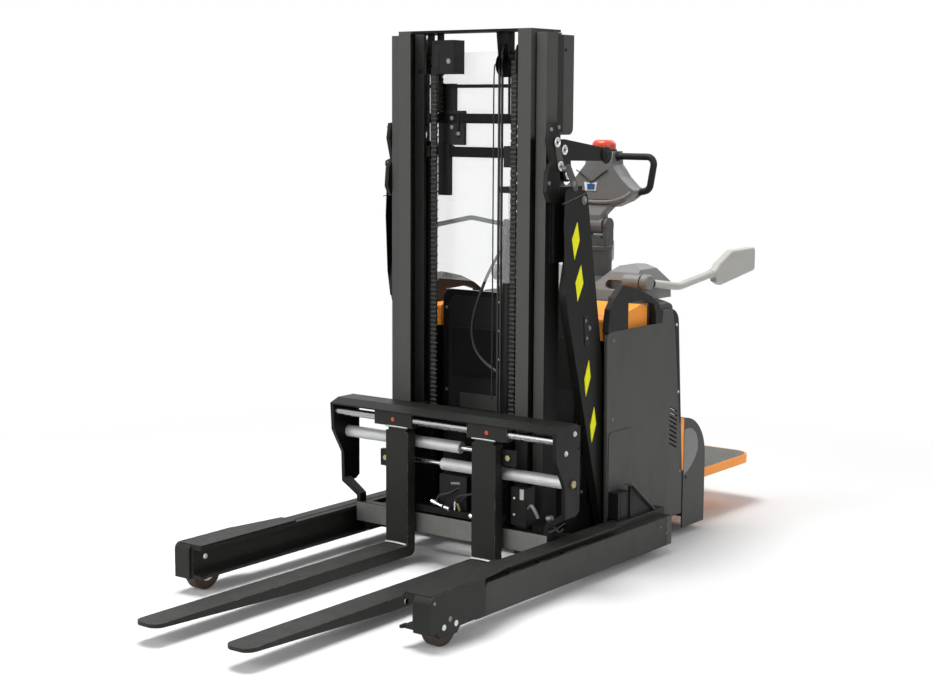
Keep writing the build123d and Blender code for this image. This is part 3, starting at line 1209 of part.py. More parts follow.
LIFT_ROD_BOTTOM_Z = 178.0
with BuildPart() as lift_barrels:
    with BuildSketch(level(FOOT_TOP_Z)):
        with Locations((LIFT_X, LIFT_Y), (LIFT_X, -LIFT_Y)):
            Circle(LIFT_BARREL_R)
    extrude(amount=LIFT_BARREL_TOP_Z - FOOT_TOP_Z)
    with BuildSketch(level(LIFT_ROD_BOTTOM_Z - 10)):
        with Locations((LIFT_X, LIFT_Y), (LIFT_X, -LIFT_Y)):
            Circle(LIFT_ROD_R + ROD_FIT)
    extrude(amount=LIFT_BARREL_TOP_Z - LIFT_ROD_BOTTOM_Z + 20, mode=Mode.SUBTRACT)
lift_barrels.part.label = "lift_barrels"

# Upper levers: an L of three bosses beside the mast head
with BuildPart() as upper_levers:
    for lever_y in (OUTER_HALF_WIDTH + LEVER_THICKNESS, -OUTER_HALF_WIDTH):
        with BuildSketch(side(lever_y)) as lever_long:
            with Locations(LEVER_PIVOT):
                Circle(36)
            with Locations(LEVER_REAR):
                Circle(22)
            make_hull()
        extrude(amount=LEVER_THICKNESS)
        with BuildSketch(side(lever_y)) as lever_short:
            with Locations(LEVER_PIVOT):
                Circle(36)
            with Locations(LEVER_LOW):
                Circle(24)
            make_hull()
        extrude(amount=LEVER_THICKNESS)
upper_levers.part.label = "upper_levers"

# Inner mast: two channels tied at head and foot, with the chain wheels
TIE_DEPTH = 12.0
HANGER_WIDTH = 30.0
INNER_REAR_X = INNER_FRONT_X - INNER_DEPTH
HEAD_TIE_BOTTOM_Z = INNER_TOP_Z - 8.0
with BuildPart() as inner_mast:
    for sign in (1, -1):
        with BuildSketch(level(INNER_BOTTOM_Z)):
            with BuildLine():
                Polyline(
                    (INNER_FRONT_X, sign * INNER_INNER_Y),
                    (INNER_FRONT_X, sign * INNER_OUTER_Y),
                    (INNER_REAR_X, sign * INNER_OUTER_Y),
                    (INNER_REAR_X, sign * INNER_INNER_Y),
                    (INNER_REAR_X + INNER_WALL, sign * INNER_INNER_Y),
                    (INNER_REAR_X + INNER_WALL, sign * (INNER_OUTER_Y - INNER_WALL)),
                    (INNER_FRONT_X - INNER_WALL, sign * (INNER_OUTER_Y - INNER_WALL)),
                    (INNER_FRONT_X - INNER_WALL, sign * INNER_INNER_Y),
                    close=True,
                )
            make_face()
        extrude(amount=INNER_TOP_Z - INNER_BOTTOM_Z)
        # arm over the lift rod
        with BuildSketch(level(HEAD_TIE_BOTTOM_Z)):
            with Locations(((INNER_REAR_X + LIFT_X - 20) / 2, sign * LIFT_Y)):
                Rectangle(INNER_REAR_X - LIFT_X + 20, 2 * (INNER_OUTER_Y - LIFT_Y))
        extrude(amount=INNER_TOP_Z - HEAD_TIE_BOTTOM_Z)
    # head tie across the front, and foot tie across the back
    with BuildSketch(level(HEAD_TIE_BOTTOM_Z)):
        with Locations(((INNER_FRONT_X + INNER_REAR_X) / 2, 0)):
            Rectangle(INNER_DEPTH, 2 * INNER_INNER_Y)
    extrude(amount=INNER_TOP_Z - HEAD_TIE_BOTTOM_Z)
    with BuildSketch(level(INNER_BOTTOM_Z)):
        with Locations((INNER_REAR_X + TIE_DEPTH / 2, 0)):
            Rectangle(TIE_DEPTH, 2 * INNER_INNER_Y)
    extrude(amount=90)
    # chain wheels hung from the head tie
    for sign in (1, -1):
        with BuildSketch(side(sign * CHAIN_Y + PULLEY_WIDTH / 2)):
            with Locations((CHAIN_X - PULLEY_R, PULLEY_Z)):
                Circle(PULLEY_R - CHAIN_THICKNESS / 2)
        extrude(amount=PULLEY_WIDTH)
        with BuildSketch(side(sign * CHAIN_Y + PULLEY_WIDTH / 2 + 8)):
            with Locations((CHAIN_X - PULLEY_R, (PULLEY_Z - HANGER_WIDTH / 2 + HEAD_TIE_BOTTOM_Z) / 2)):
                Rectangle(HANGER_WIDTH, HEAD_TIE_BOTTOM_Z - PULLEY_Z + HANGER_WIDTH / 2)
        extrude(amount=8)
        with BuildSketch(side(sign * CHAIN_Y - PULLEY_WIDTH / 2)):
            with Locations((CHAIN_X - PULLEY_R, (PULLEY_Z - HANGER_WIDTH / 2 + HEAD_TIE_BOTTOM_Z) / 2)):
                Rectangle(HANGER_WIDTH, HEAD_TIE_BOTTOM_Z - PULLEY_Z + HANGER_WIDTH / 2)
        extrude(amount=8)
    # grooved wheel for the hoses, on a plate hung from the head tie
    hose_wheel_y = sum(HOSE_Y) / 2
    with BuildSketch(side(hose_wheel_y)) as hose_wheel:
        with Locations((HOSE_WHEEL_X, HOSE_WHEEL_Z)):
            Circle(HOSE_BEND_R - HOSE_R - 0.5)
    extrude(amount=12, both=True)
    for rim_y in (hose_wheel_y + 14, hose_wheel_y + 1, hose_wheel_y - 12):
        with BuildSketch(side(rim_y)):
            with Locations((HOSE_WHEEL_X, HOSE_WHEEL_Z)):
                Circle(HOSE_WHEEL_R)
        extrude(amount=2)
    with BuildSketch(side(hose_wheel_y - 12)):
        with Locations((HOSE_WHEEL_X, HOSE_WHEEL_Z)):
            Circle(HANGER_WIDTH / 2)
        with Locations((HOSE_WHEEL_X, HEAD_TIE_BOTTOM_Z)):
            Rectangle(2 * HANGER_WIDTH, 4)
        make_hull()
    extrude(amount=8)
inner_mast.part.label = "inner_mast"

with BuildPart() as lift_rods:
    with BuildSketch(level(LIFT_ROD_BOTTOM_Z)):
        with Locations((LIFT_X, LIFT_Y), (LIFT_X, -LIFT_Y)):
            Circle(LIFT_ROD_R)
    extrude(amount=HEAD_TIE_BOTTOM_Z - LIFT_ROD_BOTTOM_Z)
lift_rods.part.label = "lift_rods"

# Lift chains: front run, wrap over the wheel, short rear run
CHAIN_BOTTOM_Z = 520.0
CHAIN_REAR_BOTTOM_Z = ANCHOR_TOP_Z + SEAT_GAP
with BuildPart() as lift_chains:
    for chain_y in (CHAIN_Y, -CHAIN_Y):
        with BuildSketch(side(chain_y + CHAIN_WIDTH / 2)):
            with Locations((CHAIN_X - PULLEY_R, PULLEY_Z)):
                Circle(PULLEY_R + CHAIN_THICKNESS / 2)
                Circle(PULLEY_R - CHAIN_THICKNESS / 2, mode=Mode.SUBTRACT)
                with Locations((0, -PULLEY_R)):
                    Rectangle(3 * PULLEY_R, 2 * PULLEY_R, mode=Mode.SUBTRACT)
            with Locations((CHAIN_X, (PULLEY_Z + CHAIN_BOTTOM_Z) / 2)):
                Rectangle(CHAIN_THICKNESS, PULLEY_Z - CHAIN_BOTTOM_Z)
            with Locations((CHAIN_X - 2 * PULLEY_R, (PULLEY_Z + CHAIN_REAR_BOTTOM_Z) / 2)):
                Rectangle(CHAIN_THICKNESS, PULLEY_Z - CHAIN_REAR_BOTTOM_Z)
        extrude(amount=CHAIN_WIDTH)
lift_chains.part.label = "lift_chains"

# Lift hoses: from the anchor on the outer mast over their wheel down to the carriage
with BuildPart() as lift_hoses:
    for hose_y in HOSE_Y:
        with BuildLine(side(hose_y)) as hose_path:
            Line(
                (HOSE_WHEEL_X + HOSE_BEND_R, CHAIN_BOTTOM_Z),
                (HOSE_WHEEL_X + HOSE_BEND_R, HOSE_WHEEL_Z),
            )
            ThreePointArc(
                (HOSE_WHEEL_X + HOSE_BEND_R, HOSE_WHEEL_Z),
                (HOSE_WHEEL_X, HOSE_WHEEL_Z + HOSE_BEND_R),
                (HOSE_WHEEL_X - HOSE_BEND_R, HOSE_WHEEL_Z),
            )
            Line(
                (HOSE_WHEEL_X - HOSE_BEND_R, HOSE_WHEEL_Z),
                (HOSE_WHEEL_X - HOSE_BEND_R, CHAIN_REAR_BOTTOM_Z),
            )
        with BuildSketch(Plane(origin=hose_path.line @ 0, z_dir=hose_path.line % 0)):
            Circle(HOSE_R)
        sweep(path=hose_path.line)
lift_hoses.part.label = "lift_hoses"

# Fork carriage: cap, end plates, lower bar and roller plates
PLATE_REAR_X = 40.0
PLATE_FRONT_X = 132.0
PLATE_THICKNESS = 20.0
CAP_LIP_Z = 544.0
CHAMFER_X = 202.0
END_PLATE_INNER_Y = END_PLATE_Y - END_PLATE
END_PLATE_REAR_X = 100.0
END_PLATE_BOTTOM_Z = 250.0
CHAIN_TIE_DEPTH = 10.0
CHAIN_TIE_HEIGHT = 30.0
CHEEK_WIDTH = 6.0
CHEEK_OFFSET = (CHAIN_WIDTH + CHEEK_WIDTH) / 2 + 0.5
CARRIAGE_ROLLER_Z = (200.0, 480.0)
CARRIAGE_ROLLER_X = (INNER_REAR_X + INNER_FRONT_X) / 2
with BuildPart() as fork_carriage:
    with BuildSketch(side(END_PLATE_Y)):
        with BuildLine():
            Polyline(
                (CAP_FRONT_X, CAP_LIP_Z),
                (CAP_FRONT_X, CAP_LIP_Z + 5),
                (CHAMFER_X, CAP_TOP_Z),
                (CAP_REAR_X, CAP_TOP_Z),
                (CAP_REAR_X, CAP_TOP_Z - CAP_WALL),
                (CHAMFER_X - 2, CAP_TOP_Z - CAP_WALL),
                (CAP_FRONT_X - CAP_WALL, CAP_LIP_Z),
                close=True,
            )
        make_face()
    extrude(amount=2 * END_PLATE_Y)
    for plate_y in (END_PLATE_Y, -END_PLATE_INNER_Y):
        with BuildSketch(side(plate_y)):
            with BuildLine():
                Polyline(
                    (CAP_FRONT_X, CAP_LIP_Z),
                    (CHAMFER_X - 2, CAP_TOP_Z - CAP_WALL),
                    (END_PLATE_REAR_X, CAP_TOP_Z - CAP_WALL),
                    (END_PLATE_REAR_X, END_PLATE_BOTTOM_Z + 14),
                    (END_PLATE_REAR_X + 20, END_PLATE_BOTTOM_Z),
                    (LOWER_BAR_FRONT_X, END_PLATE_BOTTOM_Z),
                    (LOWER_BAR_FRONT_X + 4, 360),
                    (CAP_FRONT_X - 6, 450),
                    close=True,
                )
            make_face()
        extrude(amount=END_PLATE)
    # lower bar and the bends up to the end plates
    with BuildSketch(cross(LOWER_BAR_FRONT_X - LOWER_BAR_DEPTH)):
        with Locations((0, (LOWER_BAR_BOTTOM_Z + LOWER_BAR_TOP_Z) / 2)):
            Rectangle(2 * LOWER_BAR_HALF, LOWER_BAR_TOP_Z - LOWER_BAR_BOTTOM_Z)
        for sign in (1, -1):
            with BuildLine():
                Polyline(
                    (sign * LOWER_BAR_HALF, LOWER_BAR_TOP_Z),
                    (sign * (LOWER_BAR_HALF - 16), LOWER_BAR_TOP_Z),
                    (sign * (LOWER_BAR_HALF - 16), LOWER_BAR_TOP_Z + 30),
                    (sign * END_PLATE_INNER_Y, END_PLATE_BOTTOM_Z + 16),
                    (sign * END_PLATE_Y, END_PLATE_BOTTOM_Z + 16),
                    (sign * END_PLATE_Y, END_PLATE_BOTTOM_Z),
                    (sign * LOWER_BAR_HALF, LOWER_BAR_TOP_Z + 22),
                    close=True,
                )
            make_face()
    extrude(amount=LOWER_BAR_DEPTH)
    # roller plates with feet to the lower bar
    for plate_y in (CARRIAGE_PLATE_Y + PLATE_THICKNESS / 2, -CARRIAGE_PLATE_Y + PLATE_THICKNESS / 2):
        with BuildSketch(side(plate_y)):
            with BuildLine():
                Polyline(
                    (PLATE_REAR_X, LOWER_BAR_BOTTOM_Z),
                    (PLATE_REAR_X, CAP_TOP_Z - CAP_WALL),
                    (PLATE_FRONT_X, CAP_TOP_Z - CAP_WALL),
                    (PLATE_FRONT_X, LOWER_BAR_TOP_Z + 30),
                    (LOWER_BAR_FRONT_X - LOWER_BAR_DEPTH, LOWER_BAR_TOP_Z),
                    (LOWER_BAR_FRONT_X - LOWER_BAR_DEPTH, LOWER_BAR_BOTTOM_Z),
                    close=True,
                )
            make_face()
        extrude(amount=PLATE_THICKNESS)
    for roller_z in CARRIAGE_ROLLER_Z:
        for sign in (1, -1):
            inner_y = CARRIAGE_PLATE_Y + PLATE_THICKNESS / 2 - 1
            outer_y = INNER_OUTER_Y - INNER_WALL - 5
            with BuildSketch(side(outer_y if sign > 0 else -inner_y)):
                with Locations((CARRIAGE_ROLLER_X, roller_z)):
                    Circle(CARRIAGE_ROLLER_R)
            extrude(amount=outer_y - inner_y)
    # rear tie that the chains are anchored to
    with BuildSketch(level(CHAIN_BOTTOM_Z)):
        with Locations((PLATE_REAR_X + CHAIN_TIE_DEPTH / 2, 0)):
            Rectangle(CHAIN_TIE_DEPTH, 2 * (CARRIAGE_PLATE_Y - PLATE_THICKNESS / 2))
        for cheek_y in (CHAIN_Y + CHEEK_OFFSET, CHAIN_Y - CHEEK_OFFSET, -CHAIN_Y + CHEEK_OFFSET, -CHAIN_Y - CHEEK_OFFSET):
            with Locations((PLATE_REAR_X + CHAIN_TIE_DEPTH + CHAIN_THICKNESS, cheek_y)):
                Rectangle(2 * CHAIN_THICKNESS, CHEEK_WIDTH)
        # guides beside the hoses
        for guide_y in (HOSE_Y[0] + HOSE_R + COVER_GAP + 2, HOSE_Y[1] - HOSE_R - COVER_GAP - 2):
            with Locations((PLATE_REAR_X + CHAIN_TIE_DEPTH + 1.3 * CHAIN_THICKNESS, guide_y)):
                Rectangle(2.6 * CHAIN_THICKNESS, 4)
    extrude(amount=CHAIN_TIE_HEIGHT)
fork_carriage.part.label = "fork_carriage"

with BuildPart() as guide_rod:
    with BuildSketch(side(END_PLATE_INNER_Y)):
        with Locations((GUIDE_ROD_X, GUIDE_ROD_Z)):
            Circle(GUIDE_ROD_R)
    extrude(amount=2 * END_PLATE_INNER_Y)
guide_rod.part.label = "guide_rod"

# Fork positioner: each barrel is anchored at the end plate across from its fork
LUG_OUTER_OFFSET = 45.0
LUG_WIDTH = 18.0
ROD_INSERTED = 200.0
SHIFT_INWARD = 100.0
ROD_END_GAP = 10.0
with BuildPart() as positioner_barrels:
    for sign, barrel_z in ((-1, UPPER_CYLINDER_Z), (1, LOWER_CYLINDER_Z)):
        start_y = -CYLINDER_GLAND_Y * sign
        with BuildSketch(side(END_PLATE_INNER_Y if sign > 0 else start_y)):
            with Locations((CYLINDER_X, barrel_z)):
                Circle(CYLINDER_R)
        extrude(amount=END_PLATE_INNER_Y + CYLINDER_GLAND_Y)
        bore_depth = ROD_INSERTED + SHIFT_INWARD + ROD_END_GAP
        with BuildSketch(side(start_y + bore_depth if sign > 0 else start_y)):
            with Locations((CYLINDER_X, barrel_z)):
                Circle(CYLINDER_ROD_R + ROD_FIT)
        extrude(amount=bore_depth, mode=Mode.SUBTRACT)
positioner_barrels.part.label = "positioner_barrels"


def make_fork(name, sign):
    """One fork: tapered blade, shank, sleeve round the guide rod and a lug for its rod."""
    y_centre = sign * FORK_Y
    lug_z = UPPER_CYLINDER_Z if sign > 0 else LOWER_CYLINDER_Z
    heel_back_x = HEEL_X - FORK_THICKNESS
    with BuildPart() as fork:
        # side outline: blade tapering to the tip, rounded heel and shank
        with BuildSketch(side(y_centre + FORK_WIDTH / 2)) as fork_outline:
            with BuildLine():
                Polyline(
                    (heel_back_x, SHANK_TOP_Z),
                    (HEEL_X, SHANK_TOP_Z),
                    (HEEL_X, FORK_TOP_Z),
                    (HEEL_X + FORK_LENGTH, FORK_TOP_Z),
                    (HEEL_X + FORK_LENGTH, FORK_TOP_Z - FORK_TIP_THICKNESS),
                    (HEEL_X + FORK_LENGTH - FORK_TAPER_LENGTH, FORK_TOP_Z - FORK_THICKNESS),
                    (heel_back_x, FORK_TOP_Z - FORK_THICKNESS),
                    close=True,
                )
            make_face()
            fillet(fork_outline.vertices().group_by(Axis.X)[0].sort_by(Axis.Y)[0], radius=26)
        extrude(amount=FORK_WIDTH)
        tip_edges = fork.edges().filter_by(Axis.Z).group_by(Axis.X)[-1]
        fillet(tip_edges, radius=34)
        # sleeve round the guide rod, joined to the shank by a neck
        with BuildSketch(side(sign * SLEEVE_Y + SLEEVE_WIDTH / 2)):
            with Locations((GUIDE_ROD_X, GUIDE_ROD_Z)):
                Rectangle(SLEEVE_DEPTH, 2 * SLEEVE_HALF_HEIGHT)
        extrude(amount=SLEEVE_WIDTH)
        with BuildSketch(side(y_centre + FORK_WIDTH / 2 - 12)):
            with Locations(((heel_back_x + 8 + HEEL_X) / 2, (SHANK_TOP_Z + GUIDE_ROD_Z - SLEEVE_HALF_HEIGHT) / 2)):
                Rectangle(FORK_THICKNESS - 8, GUIDE_ROD_Z - SLEEVE_HALF_HEIGHT - SHANK_TOP_Z + 2)
        extrude(amount=FORK_WIDTH - 24)
        # lug behind the shank for the positioner rod
        lug_top_y = y_centre + sign * LUG_OUTER_OFFSET
        with BuildSketch(side(max(lug_top_y, lug_top_y - sign * LUG_WIDTH))):
            with Locations(((CYLINDER_X - 14 + heel_back_x) / 2, lug_z)):
                Rectangle(heel_back_x - CYLINDER_X + 14 + 2, 30)
        extrude(amount=LUG_WIDTH)
        # slide pad in front of the lower bar
        with BuildSketch(side(y_centre + FORK_WIDTH / 2 - 10)):
            with Locations(((LOWER_BAR_FRONT_X + 0.5 + heel_back_x) / 2, (LOWER_BAR_BOTTOM_Z + LOWER_BAR_TOP_Z) / 2)):
                Rectangle(heel_back_x - LOWER_BAR_FRONT_X - 0.5, LOWER_BAR_TOP_Z - LOWER_BAR_BOTTOM_Z - 10)
        extrude(amount=FORK_WIDTH - 20)
        # bore for the guide rod
        with BuildSketch(side(sign * SLEEVE_Y + SLEEVE_WIDTH / 2 + 1)):
            with Locations((GUIDE_ROD_X, GUIDE_ROD_Z)):
                Circle(GUIDE_ROD_R + AXLE_FIT)
        extrude(amount=SLEEVE_WIDTH + 2, mode=Mode.SUBTRACT)
    fork.part.label = name
    return fork.part


forks = [make_fork("fork_left", 1), make_fork("fork_right", -1)]


def make_positioner_rod(name, sign):
    """The rod that carries one fork: from inside its barrel to the fork's lug."""
    rod_z = UPPER_CYLINDER_Z if sign > 0 else LOWER_CYLINDER_Z
    lug_y = sign * (FORK_Y + LUG_OUTER_OFFSET - LUG_WIDTH)
    inner_y = sign * (CYLINDER_GLAND_Y - ROD_INSERTED)
    with BuildPart() as rod:
        with BuildSketch(side(max(lug_y, inner_y))):
            with Locations((CYLINDER_X, rod_z)):
                Circle(CYLINDER_ROD_R)
        extrude(amount=abs(lug_y - inner_y))
    rod.part.label = name
    return rod.part


positioner_rods = [
    make_positioner_rod("positioner_rod_left", 1),
    make_positioner_rod("positioner_rod_right", -1),
]

# Reach linkage
ARM_MID_X = (ARM_FOOT_X + ARM_TOP_X) / 2
ARM_MID_Z = (ARM_FOOT_Z + ARM_TOP_Z) / 2
ARM_INNER_Y = ARM_OUTER_Y - ARM_THICKNESS
with BuildPart() as reach_arm_left:
    with BuildSketch(side(ARM_OUTER_Y)):
        with Locations((ARM_FOOT_X, ARM_FOOT_Z)):
            Circle(ARM_FOOT_WIDTH / 2)
        with Locations((ARM_BELLY_X, ARM_BELLY_Z)):
            Circle(ARM_BELLY_WIDTH / 2)
        with Locations((ARM_TOP_X, ARM_TOP_Z)):
            Circle(ARM_TOP_WIDTH / 2)
        make_hull()
        with Locations((ARM_FOOT_X, ARM_FOOT_Z)):
            Circle(LINKAGE_PIN_R + PIN_FIT, mode=Mode.SUBTRACT)
    extrude(amount=ARM_THICKNESS)
    # pins for the link and for the guide slot
    with BuildSketch(side(ARM_INNER_Y + 1)):
        with Locations((ARM_MID_X, ARM_MID_Z)):
            Circle(LINKAGE_PIN_R)
    extrude(amount=ARM_INNER_Y - LINK_OUTER_Y + LINK_THICKNESS + 1)
    with BuildSketch(side(ARM_INNER_Y + 1)):
        with Locations((ARM_TOP_X, ARM_TOP_Z)):
            Circle(LINK_PIN_R)
    extrude(amount=ARM_INNER_Y - OUTER_HALF_WIDTH - 4)
reach_arm_left.part.label = "reach_arm_left"

with BuildPart() as reach_arm_right:
    mirror(reach_arm_left.part, about=Plane.XZ)
reach_arm_right.part.label = "reach_arm_right"

with BuildPart() as reach_link_left:
    with BuildSketch(side(LINK_OUTER_Y)):
        with Locations((ARM_MID_X, ARM_MID_Z)):
            Circle(LINK_WIDTH / 2)
        with Locations((LINK_FOOT_X, LINK_FOOT_Z)):
            Circle(LINK_WIDTH / 2 - 7)
        make_hull()
        with Locations((ARM_MID_X, ARM_MID_Z)):
            Circle(LINKAGE_PIN_R + PIN_FIT, mode=Mode.SUBTRACT)
    extrude(amount=LINK_THICKNESS)
    with BuildSketch(side(LINK_OUTER_Y - LINK_THICKNESS + 1)):
        with Locations((LINK_FOOT_X, LINK_FOOT_Z)):
            Circle(LINK_PIN_R)
    extrude(amount=LINK_OUTER_Y - LINK_THICKNESS - LINK_LUG_OUTER_Y + LINK_LUG_THICKNESS + 1)
reach_link_left.part.label = "reach_link_left"

with BuildPart() as reach_link_right:
    mirror(reach_link_left.part, about=Plane.XZ)
reach_link_right.part.label = "reach_link_right"

BUILDERS = (
    straddle_leg_left,
    straddle_leg_right,
    base_frame,
    battery,
    side_panel_left,
    side_panel_right,
    battery_cover,
    arch_guard,
    rear_housing,
    wheel_skirt,
    orange_trim,
    console,
    tiller_yoke,
    tiller_arm,
    tiller_grips,
    stop_button,
    drive_unit,
    drive_wheel,
    castor_fork,
    castor_wheel,
    platform,
    side_gate_left,
    side_gate_right,
    mast_base,
    outer_mast,
    mast_guard,
    lift_barrels,
    upper_levers,
    inner_mast,
    lift_rods,
    lift_chains,
    lift_hoses,
    fork_carriage,
    guide_rod,
    positioner_barrels,
    reach_arm_left,
    reach_arm_right,
    reach_link_left,
    reach_link_right,
)

os.makedirs("parts", exist_ok=True)
for solid in [builder.part for builder in BUILDERS] + load_wheels + forks + positioner_rods:
    export_step(solid, f"parts/{solid.label}.step")
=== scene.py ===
"""Looks of an electric straddle stacker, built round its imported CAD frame.

Everything is in metres in the frame of the CAD model: +X towards the fork tips,
+Y to the driver's left, +Z up, and the floor at Z = 0.
"""

import logging
import math
from dataclasses import dataclass
from enum import Enum
from typing import Any, Sequence

import bmesh
import bpy
from mathutils import Matrix, Vector


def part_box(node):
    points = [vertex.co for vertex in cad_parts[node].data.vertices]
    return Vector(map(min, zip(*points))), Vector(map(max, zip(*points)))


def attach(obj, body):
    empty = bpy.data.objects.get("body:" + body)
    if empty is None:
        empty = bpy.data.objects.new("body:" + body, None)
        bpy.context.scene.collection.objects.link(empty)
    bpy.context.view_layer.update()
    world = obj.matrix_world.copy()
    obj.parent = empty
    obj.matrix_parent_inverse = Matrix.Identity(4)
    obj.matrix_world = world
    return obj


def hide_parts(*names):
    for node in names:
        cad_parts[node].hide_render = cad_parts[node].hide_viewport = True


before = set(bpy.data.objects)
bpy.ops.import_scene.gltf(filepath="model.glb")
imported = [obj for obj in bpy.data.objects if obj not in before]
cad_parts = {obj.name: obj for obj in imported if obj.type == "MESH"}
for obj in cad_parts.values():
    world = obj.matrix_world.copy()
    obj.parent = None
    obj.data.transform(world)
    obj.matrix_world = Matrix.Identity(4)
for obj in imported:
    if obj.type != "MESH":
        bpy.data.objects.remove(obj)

LOG = logging.getLogger("stacker")
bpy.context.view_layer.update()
Point = Sequence[float]
Colour = tuple[float, float, float]

SIDES = ((1, "left"), (-1, "right"))
UP = (0, 0, 1)
AHEAD = (1, 0, 0)
SHARP_ANGLE = 0.6
PEEL_DEPTH = 0.0006
LEATHER_DEPTH = 0.0005
BRUSH_DEPTH = 0.0004


class Axis(Enum):
    """The direction in which an outline is extruded or turned."""

    X = (1, 2, 0)
    Y = (0, 2, 1)
    Z = (0, 1, 2)


def span(side: int, first: float, second: float) -> list[float]:
    """Returns two distances from the middle, mirrored to a side and in order."""
    return sorted((side * first, side * second))


def cap(radius: float, height: float, crown: float = 0.0) -> list[Point]:
    """Returns the profile of a flat cap whose middle stands a crown higher."""
    return [(0.0, 0.0), (radius, 0.0), (radius, height), (0.0, height + crown)]


def tint(colour: Colour, gain: float = 1.0, lift: float = 0.0) -> tuple[float, ...]:
    """Returns a paler or darker colour with full alpha."""
    return (*(min(1.0, gain * c + lift) for c in colour), 1.0)


# ---------------------------------------------------------------- shader groups


class NodeWriter:
    """Writes the nodes of one tree with little text."""

    def __init__(self, tree: bpy.types.NodeTree) -> None:
        """Keeps the tree.

        Args:
            tree: The node tree that gets the nodes.
        """
        self.tree = tree

    def add(
        self, kind: str, inputs: dict[Any, Any] | None = None, **settings: Any
    ) -> bpy.types.Node:
        """Adds a node.

        Args:
            kind: The node's Blender type.
            inputs: Values or sockets for its inputs, by name or index.
            settings: The node's own properties.

        Returns:
            The new node.
        """
        node = self.tree.nodes.new(kind)
        for key, value in settings.items():
            setattr(node, key, value)
        for key, value in (inputs or {}).items():
            self.put(node.inputs[key], value)
        return node

    def put(self, socket: bpy.types.NodeSocket, value: Any) -> None:
        """Links a socket to an input, or sets the input to a value."""
        if isinstance(value, bpy.types.NodeSocket):
            self.tree.links.new(value, socket)
        else:
            socket.default_value = value

    def math(self, operation: str, first: Any, second: Any = 0.0, clamp: bool = False) -> Any:
        """Adds a Math node.

        Args:
            operation: What it does.
            first: Its first value or socket.
            second: Its second value or socket.
            clamp: Whether the result stays in 0..1.

        Returns:
            Its output socket.
        """
        node = self.add(
            "ShaderNodeMath", {0: first, 1: second}, operation=operation, use_clamp=clamp
        )
        return node.outputs[0]

    def times(self, first: Any, second: Any, clamp: bool = False) -> Any:
        """Multiplies two values and returns the socket."""
        return self.math("MULTIPLY", first, second, clamp)

    def plus(self, first: Any, second: Any, clamp: bool = False) -> Any:
        """Adds two values and returns the socket."""
        return self.math("ADD", first, second, clamp)

    def absolute(self, value: Any) -> Any:
        """Returns the socket of a value without its sign."""
        return self.math("ABSOLUTE", value)

    def mix(self, factor: Any, first: Any, second: Any) -> Any:
        """Adds a colour Mix node and returns its colour socket."""
        node = self.add("ShaderNodeMix", {0: factor, 6: first, 7: second}, data_type="RGBA")
        return node.outputs[2]

    def group(self, tree: bpy.types.NodeTree, **values: Any) -> Any:
        """Places a node group with its own values and returns its outputs."""
        return self.add("ShaderNodeGroup", values, node_tree=tree).outputs

    def place(self) -> Any:
        """Returns the socket of the place on the object."""
        return self.add("ShaderNodeTexCoord").outputs["Object"]

    def normal(self) -> Any:
        """Returns the outputs of the normal's three parts."""
        flat = self.add("ShaderNodeNewGeometry").outputs["Normal"]
        return self.add("ShaderNodeSeparateXYZ", {0: flat}).outputs

    def noise(self, vector: Any, scale: Any, **values: float) -> Any:
        """Adds a noise texture and returns the socket of its value."""
        inputs = {"Vector": vector, "Scale": scale, **values}
        return self.add("ShaderNodeTexNoise", inputs).outputs[0]

    def bump(self, strength: float, depth: float, height: Any, normal: Any) -> Any:
        """Adds a Bump node.

        Args:
            strength: How strong it is.
            depth: How deep its relief is.
            height: The socket of the height.
            normal: The socket of the normal that it starts from.

        Returns:
            The new normal's socket.
        """
        inputs = {"Strength": strength, "Distance": depth, "Height": height, "Normal": normal}
        return self.add("ShaderNodeBump", inputs).outputs[0]

    def ramp(self, factor: Any, low: float, high: float) -> Any:
        """Maps low..high to 0..1, clamped, and returns the socket."""
        node = self.add(
            "ShaderNodeMapRange",
            {"Value": factor, "From Min": low, "From Max": high, "To Min": 0.0, "To Max": 1.0},
        )
        return node.outputs[0]


